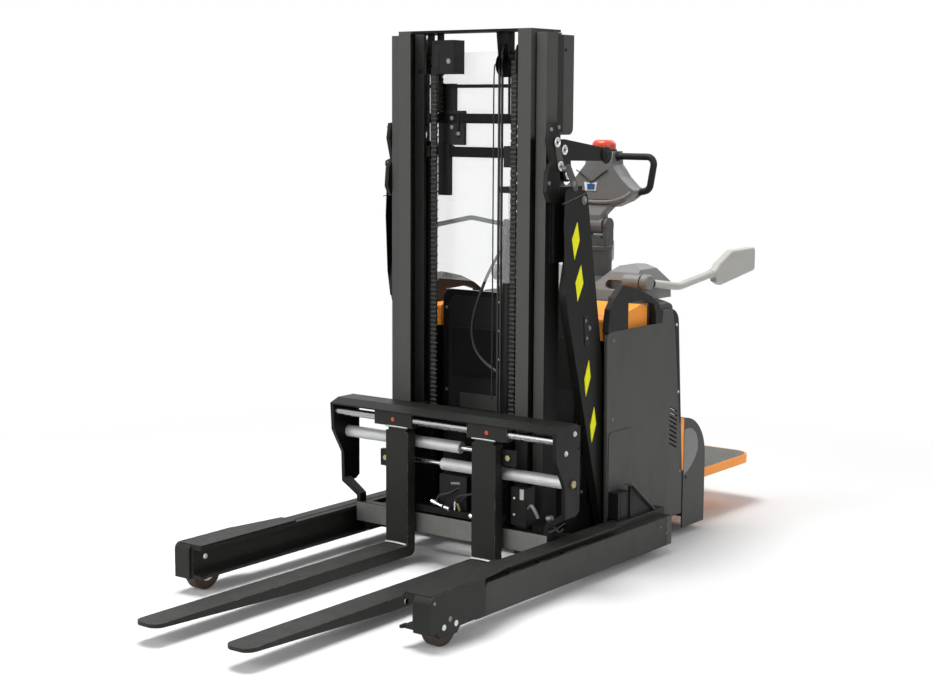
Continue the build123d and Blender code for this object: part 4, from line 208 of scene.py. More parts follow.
class GroupShelf:
    """The shader node groups that more than one finish uses."""

    def __init__(self) -> None:
        """Builds each group once."""
        self.edge = self._edge_wear()
        self.grain = self._grain()
        self.brush = self._brush()
        self.dust = self._dust()

    @staticmethod
    def _start(
        name: str, inputs: dict[str, tuple[str, Any]], outputs: dict[str, str]
    ) -> tuple[Any, NodeWriter, Any, Any]:
        """Makes an empty group with its sockets.

        Args:
            name: The group's name.
            inputs: Socket kind and default value by name.
            outputs: Socket kind by name.

        Returns:
            The tree, its writer, the Group Input and the Group Output.
        """
        tree = bpy.data.node_groups.new(name, "ShaderNodeTree")
        for key, (kind, value) in inputs.items():
            socket = tree.interface.new_socket(key, in_out="INPUT", socket_type=kind)
            socket.default_value = value
        for key, kind in outputs.items():
            tree.interface.new_socket(key, in_out="OUTPUT", socket_type=kind)
        writer = NodeWriter(tree)
        return tree, writer, writer.add("NodeGroupInput"), writer.add("NodeGroupOutput")

    def _edge_wear(self) -> bpy.types.NodeTree:
        """Returns a group with a mask of worn edges and a normal that rounds them."""
        tree, write, source, sink = self._start(
            "edge_wear",
            {
                "Radius": ("NodeSocketFloat", 0.002),
                "Amount": ("NodeSocketFloat", 0.5),
                "Patches": ("NodeSocketFloat", 40.0),
            },
            {"Mask": "NodeSocketFloat", "Normal": "NodeSocketVector"},
        )
        place = write.place()
        bevel = write.add("ShaderNodeBevel", {"Radius": source.outputs["Radius"]}, samples=6)
        flat = write.add("ShaderNodeNewGeometry").outputs["Normal"]
        dot = write.add(
            "ShaderNodeVectorMath", {0: bevel.outputs[0], 1: flat}, operation="DOT_PRODUCT"
        )
        bend = write.ramp(write.math("SUBTRACT", 1.0, dot.outputs["Value"]), 0.02, 0.16)
        noise = write.noise(place, source.outputs["Patches"], Detail=5.0, Roughness=0.7)
        patchy = write.ramp(noise, 0.5, 0.66)
        mask = write.times(write.times(bend, patchy), source.outputs["Amount"], clamp=True)
        tree.links.new(mask, sink.inputs["Mask"])
        tree.links.new(bevel.outputs[0], sink.inputs["Normal"])
        return tree

    def _grain(self) -> bpy.types.NodeTree:
        """Returns a group with a fine height, a broad tone and a smear mask."""
        tree, write, source, sink = self._start(
            "grain",
            {"Scale": ("NodeSocketFloat", 700.0), "Broad": ("NodeSocketFloat", 4.0)},
            {"Height": "NodeSocketFloat", "Tone": "NodeSocketFloat", "Smear": "NodeSocketFloat"},
        )
        place = write.place()
        fine = write.noise(place, source.outputs["Scale"], Detail=2.0)
        broad = write.noise(place, source.outputs["Broad"], Detail=6.0, Roughness=0.65)
        long = write.add("ShaderNodeMapping", {"Vector": place, "Scale": (9.0, 9.0, 2.0)})
        smear = write.noise(long.outputs[0], 1.6, Detail=8.0, Roughness=0.75)
        tree.links.new(fine, sink.inputs["Height"])
        tree.links.new(broad, sink.inputs["Tone"])
        tree.links.new(write.ramp(smear, 0.46, 0.74), sink.inputs["Smear"])
        return tree

    def _brush(self) -> bpy.types.NodeTree:
        """Returns a group with the fine lines of drawn or ground steel."""
        tree, write, source, sink = self._start(
            "brush",
            {"Along": ("NodeSocketVector", (4.0, 260.0, 260.0))},
            {"Height": "NodeSocketFloat", "Tone": "NodeSocketFloat"},
        )
        place = write.place()
        stretch = write.add(
            "ShaderNodeVectorMath", {0: place, 1: source.outputs["Along"]}, operation="MULTIPLY"
        )
        fine = write.noise(stretch.outputs[0], 3.0, Detail=4.0)
        blotch = write.noise(place, 14.0, Detail=5.0, Roughness=0.7)
        tree.links.new(fine, sink.inputs["Height"])
        tree.links.new(blotch, sink.inputs["Tone"])
        return tree

    def _dust(self) -> bpy.types.NodeTree:
        """Returns a group with a mask of dust on surfaces that face up."""
        tree, write, source, sink = self._start(
            "dust", {"Amount": ("NodeSocketFloat", 0.2)}, {"Mask": "NodeSocketFloat"}
        )
        up = write.normal()["Z"]
        place = write.place()
        noise = write.noise(place, 11.0, Detail=7.0, Roughness=0.7)
        patchy = write.ramp(noise, 0.38, 0.7)
        mask = write.times(
            write.times(write.ramp(up, 0.4, 1.0), patchy), source.outputs["Amount"], clamp=True
        )
        tree.links.new(mask, sink.inputs["Mask"])
        return tree


def open_material(name: str) -> tuple[bpy.types.Material, NodeWriter, bpy.types.Node]:
    """Makes a material with one Principled BSDF.

    Args:
        name: The material's name.

    Returns:
        The material, the writer of its tree and the shader node.
    """
    material = bpy.data.materials.new(name)
    material.use_nodes = True
    material.node_tree.nodes.clear()
    write = NodeWriter(material.node_tree)
    shader = write.add("ShaderNodeBsdfPrincipled")
    write.add("ShaderNodeOutputMaterial", {"Surface": shader.outputs[0]})
    return material, write, shader


def finish_shader(write: NodeWriter, shader: bpy.types.Node, inputs: dict[str, Any]) -> None:
    """Links or sets the inputs of a material's shader.

    Args:
        write: The writer of the material's tree.
        shader: The shader node.
        inputs: Values or sockets by the input's name.
    """
    for key, value in inputs.items():
        write.put(shader.inputs[key], value)


@dataclass(frozen=True)
class PaintFinish:
    """Paint on steel: orange peel, smears, dust, edges worn to metal, and optional painted shade on
    the mast's rails.
    """

    name: str
    colour: Colour
    roughness: float = 0.42
    wear: float = 0.35
    edge_radius: float = 0.0022
    peel: float = 0.05
    peel_scale: float = 520.0
    dust: float = 0.16
    worn_colour: Colour = (0.34, 0.33, 0.31)
    specular: float = 0.25
    # The next four fields paint shade on the mast: a darker colour for the rails' side faces, for
    # what lies between the rails and for the mast's outer sides below its head.
    painted_shade_colour: Colour | None = None
    painted_shade_top: float = 1.5
    painted_shade_inner_y: float = 0.225
    mast_side: float = 0.3325

    def make(self, shelf: GroupShelf) -> bpy.types.Material:
        """Builds the material.

        Args:
            shelf: The shelf with the shared groups.

        Returns:
            The material.
        """
        material, write, shader = open_material(self.name)
        edge = write.group(shelf.edge, Radius=self.edge_radius, Amount=self.wear)
        grain = write.group(shelf.grain, Scale=self.peel_scale)
        dust = write.group(shelf.dust, Amount=self.dust)
        toned = write.mix(grain["Tone"], tint(self.colour, 0.82), tint(self.colour))
        if self.painted_shade_colour is not None:
            # Painted shade: the rails' sides and what lies between them get the darker colour.
            toned = write.mix(self._painted_shade_mask(write), toned, tint(self.painted_shade_colour))
        dusted = write.mix(dust["Mask"], toned, tint(self.colour, 0.7, 0.06))
        worn = write.mix(edge["Mask"], dusted, tint(self.worn_colour))
        rough = write.plus(write.times(grain["Smear"], 0.14), self.roughness)
        rough = write.plus(rough, write.times(dust["Mask"], 0.4))
        finish_shader(write, shader, {
            "Base Color": worn,
            "Roughness": rough,
            "Metallic": write.times(edge["Mask"], 0.9),
            "Normal": write.bump(self.peel, PEEL_DEPTH, grain["Height"], edge["Normal"]),
            "Specular IOR Level": self.specular,
        })
        return material

    def _painted_shade_mask(self, write: NodeWriter) -> Any:
        """Returns a mask of painted shade on the rails' side faces, on what lies between the rails
        and on the mast's outer sides below its head.

        Args:
            write: The writer of the material's tree.

        Returns:
            The mask's socket.
        """
        normal = write.normal()
        place = write.add("ShaderNodeSeparateXYZ", {0: write.place()}).outputs
        aside = write.absolute(place["Y"])
        across = write.ramp(write.absolute(normal["Y"]), 0.5, 0.8)
        above = write.ramp(place["Z"], self.painted_shade_top, self.painted_shade_top + 0.02)
        low = write.math("SUBTRACT", 1.0, above)
        outside = write.ramp(aside, self.painted_shade_inner_y, self.painted_shade_inner_y + 0.004)
        outward = write.ramp(write.times(normal["Y"], place["Y"]), 0.0, 0.01)
        kept = write.times(write.times(across, outward), write.math("SUBTRACT", 1.0, low))
        beyond = write.times(write.ramp(aside, self.mast_side, self.mast_side + 0.001), low)
        shaded_sides = write.math("SUBTRACT", across, kept)
        inner = write.math("MAXIMUM", shaded_sides, write.math("SUBTRACT", 1.0, outside))
        return write.math("MAXIMUM", inner, beyond, clamp=True)


@dataclass(frozen=True)
class PlasticFinish:
    """Moulded plastic or rubber with a leathery texture."""

    name: str
    colour: Colour
    roughness: float = 0.5
    texture: float = 0.12
    texture_scale: float = 900.0
    dust: float = 0.1
    edge_radius: float = 0.003
    wear: float = 0.35
    scuffs: float = 0.06
    specular: float = 0.4

    def make(self, shelf: GroupShelf) -> bpy.types.Material:
        """Builds the material.

        Args:
            shelf: The shelf with the shared groups.

        Returns:
            The material.
        """
        material, write, shader = open_material(self.name)
        edge = write.group(shelf.edge, Radius=self.edge_radius, Amount=self.wear)
        grain = write.group(shelf.grain, Scale=self.texture_scale)
        dust = write.group(shelf.dust, Amount=self.dust)
        pores = write.add(
            "ShaderNodeTexVoronoi", {"Vector": write.place(), "Scale": self.texture_scale}
        )
        height = write.plus(grain["Height"], write.times(pores.outputs[0], 0.8))
        dusty = tint(self.colour, 0.75, 0.09)
        toned = write.mix(grain["Tone"], tint(self.colour), tint(self.colour, 1.14, 0.006))
        scuffed = write.mix(write.times(grain["Smear"], self.scuffs), toned, dusty)
        edged = write.mix(write.times(edge["Mask"], 0.5), scuffed, dusty)
        rough = write.plus(write.times(grain["Smear"], 0.12), self.roughness)
        finish_shader(write, shader, {
            "Base Color": write.mix(dust["Mask"], edged, dusty),
            "Roughness": rough,
            "Normal": write.bump(self.texture, LEATHER_DEPTH, height, edge["Normal"]),
            "Specular IOR Level": self.specular,
        })
        return material


@dataclass(frozen=True)
class SteelFinish:
    """Bare, ground, drawn or chromed metal."""

    name: str
    colour: Colour
    roughness: float = 0.3
    along: Point = (4.0, 260.0, 260.0)
    lines: float = 0.12
    blotches: float = 0.25
    metallic: float = 1.0
    edge_radius: float = 0.0015

    def make(self, shelf: GroupShelf) -> bpy.types.Material:
        """Builds the material.

        Args:
            shelf: The shelf with the shared groups.

        Returns:
            The material.
        """
        material, write, shader = open_material(self.name)
        edge = write.group(shelf.edge, Radius=self.edge_radius)
        brush = write.group(shelf.brush, Along=self.along)
        tone = write.times(write.ramp(brush["Tone"], 0.35, 0.7), self.blotches)
        rough = write.plus(write.times(brush["Tone"], 0.22), self.roughness - 0.08)
        finish_shader(write, shader, {
            "Base Color": write.mix(tone, tint(self.colour), tint(self.colour, 0.62)),
            "Roughness": rough,
            "Normal": write.bump(self.lines, BRUSH_DEPTH, brush["Height"], edge["Normal"]),
            "Metallic": self.metallic,
        })
        return material


@dataclass(frozen=True)
class ClearFinish:
    """A clear sheet with faint scratches and a greenish edge."""

    name: str
    colour: Colour
    opacity: float = 0.16
    edge_colour: Colour = (0.30, 0.34, 0.32)
    scratch_scale: Point = (30.0, 3.0, 60.0)

    def make(self, shelf: GroupShelf) -> bpy.types.Material:
        """Builds the material.

        Args:
            shelf: The shelf with the shared groups.

        Returns:
            The material.
        """
        material, write, shader = open_material(self.name)
        grain = write.group(shelf.grain, Scale=60.0)
        stretched = write.add(
            "ShaderNodeMapping", {"Vector": write.place(), "Scale": self.scratch_scale}
        )
        scratch = write.noise(stretched.outputs[0], 6.0, Detail=8.0)
        haze = write.ramp(scratch, 0.55, 0.8)
        facing = write.absolute(write.normal()["X"])
        rim = write.math("SUBTRACT", 1.0, write.ramp(facing, 0.2, 0.9))
        alpha = write.plus(write.times(rim, 0.5), self.opacity)
        alpha = write.plus(alpha, write.times(haze, 0.06), clamp=True)
        finish_shader(write, shader, {
            "Base Color": write.mix(rim, tint(self.colour), tint(self.edge_colour)),
            "Alpha": alpha,
            "Roughness": write.plus(write.times(grain["Smear"], 0.1), 0.06),
        })
        return material


FINISHES: tuple[Any, ...] = (
    PaintFinish(
        "black_paint", (0.0085, 0.0086, 0.0078), roughness=0.4, wear=0.2, dust=0.05, specular=0.16
    ),
    PaintFinish(
        "charcoal_paint", (0.072, 0.072, 0.069), roughness=0.5, wear=0.2, dust=0.08, specular=0.3
    ),
    PaintFinish(
        "rail_paint", (0.078, 0.078, 0.0748), roughness=0.5, wear=0.3, dust=0.04, specular=0.1,
        # The darker colour is painted shade on the mast's rail sides and between the rails.
        painted_shade_colour=(0.005, 0.005, 0.0047),
    ),
    PaintFinish(
        "panel_paint", (0.062, 0.0625, 0.0595), roughness=0.52, wear=0.1, peel=0.12,
        peel_scale=900.0, dust=0.1, specular=0.3,
    ),
    PaintFinish(
        "leg_paint", (0.0165, 0.0167, 0.015), roughness=0.46, wear=0.3, dust=0.08, specular=0.18
    ),
    PaintFinish(
        "side_plate_paint", (0.043, 0.0435, 0.0405), roughness=0.48, wear=0.25, dust=0.06,
        specular=0.25,
    ),
    PaintFinish(
        "fork_paint", (0.021, 0.0212, 0.0192), roughness=0.44, wear=0.85, edge_radius=0.003,
        dust=0.2, specular=0.16,
    ),
    PaintFinish(
        "yellow_mark", (0.93, 0.92, 0.008), roughness=0.5, wear=0.0, dust=0.02,
        worn_colour=(0.4, 0.4, 0.1),
    ),
    PlasticFinish("orange_plastic", (1.0, 0.32, 0.035), roughness=0.42, dust=0.04),
    PlasticFinish(
        "black_plastic", (0.0085, 0.0086, 0.0084), roughness=0.55, dust=0.06, specular=0.2
    ),
    PlasticFinish("grey_plastic", (0.175, 0.175, 0.171), roughness=0.44),
    PlasticFinish("head_plastic", (0.125, 0.126, 0.124), roughness=0.46, specular=0.35),
    PlasticFinish("skirt_plastic", (0.045, 0.0453, 0.0435), roughness=0.5, specular=0.3),
    PlasticFinish("dark_grey_plastic", (0.062, 0.062, 0.061), roughness=0.5, specular=0.3),
    PlasticFinish(
        "light_grey_plastic", (0.40, 0.395, 0.375), roughness=0.4, texture=0.05, dust=0.02
    ),
    PlasticFinish("chalk_plastic", (0.72, 0.74, 0.76), roughness=0.3, texture=0.02, dust=0.0),
    PlasticFinish("red_plastic", (0.56, 0.060, 0.022), roughness=0.28, texture=0.04, dust=0.02),
    PlasticFinish("brown_tread", (0.034, 0.018, 0.010), roughness=0.6, dust=0.06),
    PlasticFinish(
        "mat_rubber", (0.15, 0.152, 0.136), roughness=0.75, texture=0.3, texture_scale=500.0,
        dust=0.25,
    ),
    PlasticFinish("hose_rubber", (0.0075, 0.0075, 0.0075), roughness=0.42, texture=0.2),
    PlasticFinish("display", (0.015, 0.085, 0.26), roughness=0.15, texture=0.0, dust=0.0),
    SteelFinish(
        "chrome", (0.82, 0.82, 0.82), roughness=0.16, along=(260.0, 6.0, 260.0), lines=0.03,
        blotches=0.1,
    ),
    SteelFinish(
        "bare_bar", (0.20, 0.20, 0.188), roughness=0.5, along=(120.0, 5.0, 260.0), lines=0.35,
        blotches=0.5,
    ),
    SteelFinish(
        # worn steel, also used for a painted highlight along the body front's top edge
        "worn_steel", (0.50, 0.50, 0.47), roughness=0.42, along=(40.0, 40.0, 40.0), lines=0.5,
        blotches=0.7,
    ),
    SteelFinish("brass", (0.42, 0.36, 0.18), roughness=0.34),
    SteelFinish("zinc", (0.62, 0.62, 0.60), roughness=0.34, along=(90.0, 90.0, 90.0)),
    SteelFinish(
        "silver_barrel", (0.60, 0.61, 0.62), roughness=0.46, along=(60.0, 60.0, 60.0), lines=0.05,
        metallic=0.35,
    ),
    SteelFinish("guide_steel", (0.34, 0.34, 0.345), roughness=0.24),
    SteelFinish("chain_steel", (0.065, 0.064, 0.060), roughness=0.36, along=(200.0, 200.0, 200.0)),
    SteelFinish(
        "casting", (0.22, 0.22, 0.225), roughness=0.55, along=(90.0, 90.0, 90.0), lines=0.5
    ),
    ClearFinish("clear_sheet", (0.80, 0.84, 0.82)),
)


class Workshop:
    def __init__(self) -> None:
        """Builds every finish once."""
        shelf = GroupShelf()
        self.materials = {finish.name: finish.make(shelf) for finish in FINISHES}
        LOG.info("%d finishes", len(self.materials))

    def __getitem__(self, name: str) -> bpy.types.Material:
        """Returns a finish by name."""
        return self.materials[name]

    def dress(self, node: str, finish: str) -> None:
        """Gives a CAD node its finish.

        Args:
            node: The node's name.
            finish: The finish's name.
        """
        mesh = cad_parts[node].data
        mesh.materials.clear()
        mesh.materials.append(self[finish])


# ---------------------------------------------------------------- mesh making


def smooth_line(points: Sequence[Point], steps: int = 8) -> list[Vector]:
    """Rounds a run of points with a Catmull-Rom curve.

    Args:
        points: The points that the line goes through.
        steps: Points made for each run.

    Returns:
        The points of the smooth line.
    """
    given = [Vector(p) for p in points]
    ends = [given[0] * 2 - given[1], *given, given[-1] * 2 - given[-2]]
    line: list[Vector] = []
    for a, b, c, d in zip(ends, ends[1:], ends[2:], ends[3:]):
        for step in range(steps):
            t = step / steps
            square = (2 * a - 5 * b + 4 * c - d) * t**2
            cube = (3 * b - a - 3 * c + d) * t**3
            line.append(0.5 * (2 * b + (c - a) * t + square + cube))
    line.append(given[-1])
    return line


def shade(mesh: bmesh.types.BMesh) -> None:
    """Smooths a mesh, and keeps its edges sharp where they bend much."""
    for edge in mesh.edges:
        edge.smooth = not (len(edge.link_faces) == 2 and edge.calc_face_angle() > SHARP_ANGLE)
    for face in mesh.faces:
        face.smooth = True


class Piece:
    """Gathers solids in one mesh and finishes them as one object."""

    def __init__(self, name: str) -> None:
        """Starts an empty piece.

        Args:
            name: The object's name.
        """
        self.name = name
        self.mesh = bmesh.new()
        self.finishes: list[str] = []

    def _take(self, part: bmesh.types.BMesh, finish: str, bevel: float) -> None:
        """Bevels a part, gives it its finish and adds it to the piece.

        Args:
            part: The closed part, which is freed.
            finish: The finish of its faces.
            bevel: Width of the rounding of its sharp edges.
        """
        if finish not in self.finishes:
            self.finishes.append(finish)
        if bevel > 0:
            sharp = [
                e
                for e in part.edges if len(e.link_faces) == 2 and e.calc_face_angle() > SHARP_ANGLE
            ]
            bmesh.ops.bevel(
                part, geom=sharp, offset=bevel, segments=2, profile=0.5, affect="EDGES",
                clamp_overlap=True,
            )
        bmesh.ops.recalc_face_normals(part, faces=part.faces)
        slot = self.finishes.index(finish)
        for face in part.faces:
            face.material_index = slot
        scratch = bpy.data.meshes.new("scratch")
        part.to_mesh(scratch)
        part.free()
        self.mesh.from_mesh(scratch)
        bpy.data.meshes.remove(scratch)

    def prism(
        self,
        outline: Sequence[Point],
        axis: Axis,
        low: float,
        high: float,
        finish: str,
        bevel: float = 0.0,
    ) -> "Piece":
        """Adds an outline extruded along an axis.

        Args:
            outline: Corners as pairs in the two other axes, in X, Y, Z order.
            axis: The extrusion's axis.
            low: Where it starts.
            high: Where it ends.
            finish: Its finish.
            bevel: Rounding of its edges.

        Returns:
            The piece.
        """
        part = bmesh.new()
        u, v, w = axis.value
        rings = []
        for level in (low, high):
            ring = []
            for first, second in outline:
                place = [0.0, 0.0, 0.0]
                place[u], place[v], place[w] = first, second, level
                ring.append(part.verts.new(place))
            rings.append(ring)
        part.faces.new(rings[0])
        part.faces.new(list(reversed(rings[1])))
        for i in range(len(outline)):
            j = (i + 1) % len(outline)
            part.faces.new((rings[0][i], rings[1][i], rings[1][j], rings[0][j]))
        self._take(part, finish, bevel)
        return self

    def block(self, low: Point, high: Point, finish: str, bevel: float = 0.001) -> "Piece":
        """Adds a bevelled block between two corners."""
        outline = [(low[0], low[1]), (high[0], low[1]), (high[0], high[1]), (low[0], high[1])]
        return self.prism(outline, Axis.Z, low[2], high[2], finish, bevel)

    def turned(
        self,
        profile: Sequence[Point],
        origin: Point,
        direction: Point,
        finish: str,
        sides: int = 32,
    ) -> "Piece":
        """Adds a closed turned part.

        Args:
            profile: Pairs of radius and height along the axis, from its foot to its head.
            origin: The axis's foot.
            direction: The axis's direction.
            finish: Its finish.
            sides: Faces around it.

        Returns:
            The piece.
        """
        part = bmesh.new()
        turn = Vector(direction).normalized().to_track_quat("Z", "Y").to_matrix().to_4x4()
        place = Matrix.Translation(Vector(origin)) @ turn
        rings = []
        for radius, height in profile:
            if radius <= 1e-6:
                rings.append([part.verts.new(place @ Vector((0, 0, height)))])
                continue
            rings.append([
                part.verts.new(place @ Vector((radius * math.cos(a), radius * math.sin(a), height)))
                for a in (2 * math.pi * i / sides for i in range(sides))
            ])
        for first, second in zip(rings, rings[1:]):
            for i in range(sides):
                j = (i + 1) % sides
                a = [first[i], first[j]] if len(first) > 1 else [first[0]]
                b = [second[j], second[i]] if len(second) > 1 else [second[0]]
                if len(a) + len(b) > 2:
                    part.faces.new(a + b)
        for ring in (rings[0], rings[-1]):
            if len(ring) > 1:
                part.faces.new(ring)
        self._take(part, finish, 0.0)
        return self

    def rod(
        self,
        start: Point,
        end: Point,
        radius: float,
        finish: str,
        chamfer: float = 0.001,
        sides: int = 24,
    ) -> "Piece":
        """Adds a round bar with chamfered ends.

        Args:
            start: The middle of its one end.
            end: The middle of its other end.
            radius: Its radius.
            finish: Its finish.
            chamfer: Width of the chamfers.
            sides: Faces around it.

        Returns:
            The piece.
        """
        run = Vector(end) - Vector(start)
        length = run.length
        c = min(chamfer, 0.4 * radius, 0.4 * length)
        profile = [(radius - c, 0.0), (radius, c), (radius, length - c), (radius - c, length)]
        return self.turned(profile, start, run, finish, sides)

    def tube(self, line: Sequence[Point], radius: float, finish: str, sides: int = 12) -> "Piece":
        """Adds a round tube along a line.

        Args:
            line: Its middle points.
            radius: Its radius.
            finish: Its finish.
            sides: Faces around it.

        Returns:
            The piece.
        """
        points = [Vector(p) for p in line]
        part = bmesh.new()
        rings = []
        normal: Vector | None = None
        for i, point in enumerate(points):
            before = points[max(0, i - 1)]
            after = points[min(len(points) - 1, i + 1)]
            tangent = (after - before).normalized()
            if normal is None:
                normal = tangent.orthogonal().normalized()
            else:
                normal = (normal - tangent * normal.dot(tangent)).normalized()
            other = tangent.cross(normal)
            rings.append([
                part.verts.new(point + radius * (math.cos(a) * normal + math.sin(a) * other))
                for a in (2 * math.pi * k / sides for k in range(sides))
            ])
        for first, second in zip(rings, rings[1:]):
            for i in range(sides):
                j = (i + 1) % sides
                part.faces.new((first[i], first[j], second[j], second[i]))
        part.faces.new(rings[0])
        part.faces.new(rings[-1])
        self._take(part, finish, 0.0)
        return self

    def cord(
        self, points: Sequence[Point], steps: int, radius: float, finish: str, sides: int = 10
    ) -> "Piece":
        """Adds a tube that runs smoothly through some points."""
        return self.tube(smooth_line(points, steps), radius, finish, sides)

    def finish(self, shop: Workshop, body: str, slot: str) -> bpy.types.Object:
        """Turns the gathered mesh into an object that rides on a body.

        Args:
            shop: The workshop with the finishes.
            body: The CAD body that carries the piece.
            slot: The record's material slot; not used.

        Returns:
            The finished object.
        """
        shade(self.mesh)
        data = bpy.data.meshes.new(self.name)
        self.mesh.to_mesh(data)
        self.mesh.free()
        for name in self.finishes:
            data.materials.append(shop[name])
        item = bpy.data.objects.new(self.name, data)
        bpy.context.scene.collection.objects.link(item)
        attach(item, body)
        LOG.info("piece %s on %s", self.name, body)
        return item


# ---------------------------------------------------------------- patterns


class PatternTree:
    """A Geometry Nodes tree whose result becomes a plain mesh."""

    def __init__(self, name: str, inputs: dict[str, tuple[str, Any]]) -> None:
        """Makes the tree with its named inputs.

        Args:
            name: The tree's name.
            inputs: Socket kind and default by name.
        """
        self.tree = bpy.data.node_groups.new(name, "GeometryNodeTree")
        face = self.tree.interface
        face.new_socket("Geometry", in_out="INPUT", socket_type="NodeSocketGeometry")
        for key, (kind, value) in inputs.items():
            socket = face.new_socket(key, in_out="INPUT", socket_type=kind)
            if value is not None:
                socket.default_value = value
        face.new_socket("Finish", in_out="INPUT", socket_type="NodeSocketMaterial")
        face.new_socket("Geometry", in_out="OUTPUT", socket_type="NodeSocketGeometry")
        self.write = NodeWriter(self.tree)
        self.source = self.write.add("NodeGroupInput")
        self.sink = self.write.add("NodeGroupOutput")

    def attribute(self, name: str) -> Any:
        """Returns a vector attribute's socket."""
        node = self.write.add(
            "GeometryNodeInputNamedAttribute", {"Name": name}, data_type="FLOAT_VECTOR"
        )
        return node.outputs["Attribute"]

    def moved(self, geometry: Any, translation: Any) -> Any:
        """Returns geometry moved by a vector."""
        return self.write.add(
            "GeometryNodeTransform", {"Geometry": geometry, "Translation": translation}
        ).outputs[0]

    def vector(self, x: Any = 0.0, y: Any = 0.0, z: Any = 0.0) -> Any:
        """Returns a vector built from three sockets or numbers."""
        return self.write.add("ShaderNodeCombineXYZ", {0: x, 1: y, 2: z}).outputs[0]

    def joined(self, parts: Sequence[Any]) -> Any:
        """Returns several geometries as one."""
        join = self.write.add("GeometryNodeJoinGeometry")
        for part in parts:
            self.tree.links.new(part, join.inputs[0])
        return join.outputs[0]

    def close(self, points: Any, instance: Any, rotation: Any) -> None:
        """Puts the instance on the points and ends the tree."""
        placed = self.write.add(
            "GeometryNodeInstanceOnPoints",
            {"Points": points, "Instance": instance, "Rotation": rotation},
        )
        real = self.write.add("GeometryNodeRealizeInstances", {0: placed.outputs[0]})
        named = self.write.add(
            "GeometryNodeSetMaterial",
            {"Geometry": real.outputs[0], "Material": self.source.outputs["Finish"]},
        )
        self.tree.links.new(named.outputs[0], self.sink.inputs[0])

    def facing(self) -> Any:
        """Returns the rotation that turns Z to the points' facing, and X to their along."""
        first = self.write.add(
            "FunctionNodeAlignRotationToVector", {"Vector": self.attribute("facing")}, axis="Z"
        )
        second = self.write.add(
            "FunctionNodeAlignRotationToVector",
            {"Rotation": first.outputs[0], "Vector": self.attribute("along")},
            axis="X",
            pivot_axis="Z",
        )
        return second.outputs[0]

    def bake(
        self,
        shop: Workshop,
        name: str,
        points: Sequence[Point],
        facings: Sequence[Point],
        alongs: Sequence[Point],
        finish: str,
        body: str,
        **values: Any,
    ) -> bpy.types.Object:
        """Runs the tree on points and keeps the result as a mesh.

        Args:
            shop: The workshop with the finishes.
            name: The object's name.
            points: Where each copy goes.
            facings: The direction of each copy's Z.
            alongs: The direction of each copy's X.
            finish: The copies' finish.
            body: The CAD body that carries them.
            values: The tree's inputs, with underscores for spaces.

        Returns:
            The finished object.
        """
        mesh = bpy.data.meshes.new(name)
        mesh.from_pydata([tuple(p) for p in points], [], [])
        for key, vectors in (("facing", facings), ("along", alongs)):
            layer = mesh.attributes.new(key, "FLOAT_VECTOR", "POINT")
            for entry, vector in zip(layer.data, vectors):
                entry.vector = Vector(vector).normalized()
        item = bpy.data.objects.new(name, mesh)
        bpy.context.scene.collection.objects.link(item)
        modifier = item.modifiers.new("pattern", "NODES")
        modifier.node_group = self.tree
        wanted = {key.replace("_", " "): value for key, value in values.items()}
        wanted["Finish"] = shop[finish]
        for entry in self.tree.interface.items_tree:
            if entry.in_out == "INPUT" and entry.name in wanted:
                modifier[entry.identifier] = wanted[entry.name]
        graph = bpy.context.evaluated_depsgraph_get()
        result = bpy.data.meshes.new_from_object(item.evaluated_get(graph), depsgraph=graph)
        item.modifiers.remove(modifier)
        item.data = result
        work = bmesh.new()
        work.from_mesh(result)
        shade(work)
        work.to_mesh(result)
        work.free()
        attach(item, body)
        LOG.info("pattern %s: %d copies on %s", name, len(points), body)
        return item


class FastenerTree(PatternTree):
    """Bolt heads on washers, each facing its own way."""

    def __init__(self) -> None:
        """Builds the tree."""
        super().__init__(
            "fasteners",
            {
                "Head radius": ("NodeSocketFloat", 0.007),
                "Head height": ("NodeSocketFloat", 0.005),
                "Washer radius": ("NodeSocketFloat", 0.01),
                "Sides": ("NodeSocketInt", 6),
            },
        )
        write, out = self.write, self.source.outputs
        radius, height, wide = out["Head radius"], out["Head height"], out["Washer radius"]

        def cone(sides: Any, foot: Any, top: float, depth: float) -> Any:
            """Adds a cone whose top and depth are shares of its foot and the head."""
            values = {
                "Vertices": sides,
                "Radius Bottom": foot,
                "Radius Top": write.times(foot, top),
                "Depth": write.times(height, depth),
            }
            return write.add("GeometryNodeMeshCone", values).outputs[0]

        washer = cone(20, wide, 0.94, 0.28)
        head = write.add(
            "GeometryNodeMeshCylinder",
            {"Vertices": out["Sides"], "Radius": radius, "Depth": write.times(height, 0.85)},
        ).outputs[0]
        crown = cone(out["Sides"], radius, 0.86, 0.15)
        dimple = cone(6, write.times(radius, 0.5), 0.84, 0.12)
        head = self.moved(head, self.vector(z=write.times(height, 0.425)))
        crown = self.moved(crown, self.vector(z=write.times(height, 0.85)))
        dimple = self.moved(dimple, self.vector(z=height))
        self.close(out["Geometry"], self.joined([washer, head, crown, dimple]), self.facing())


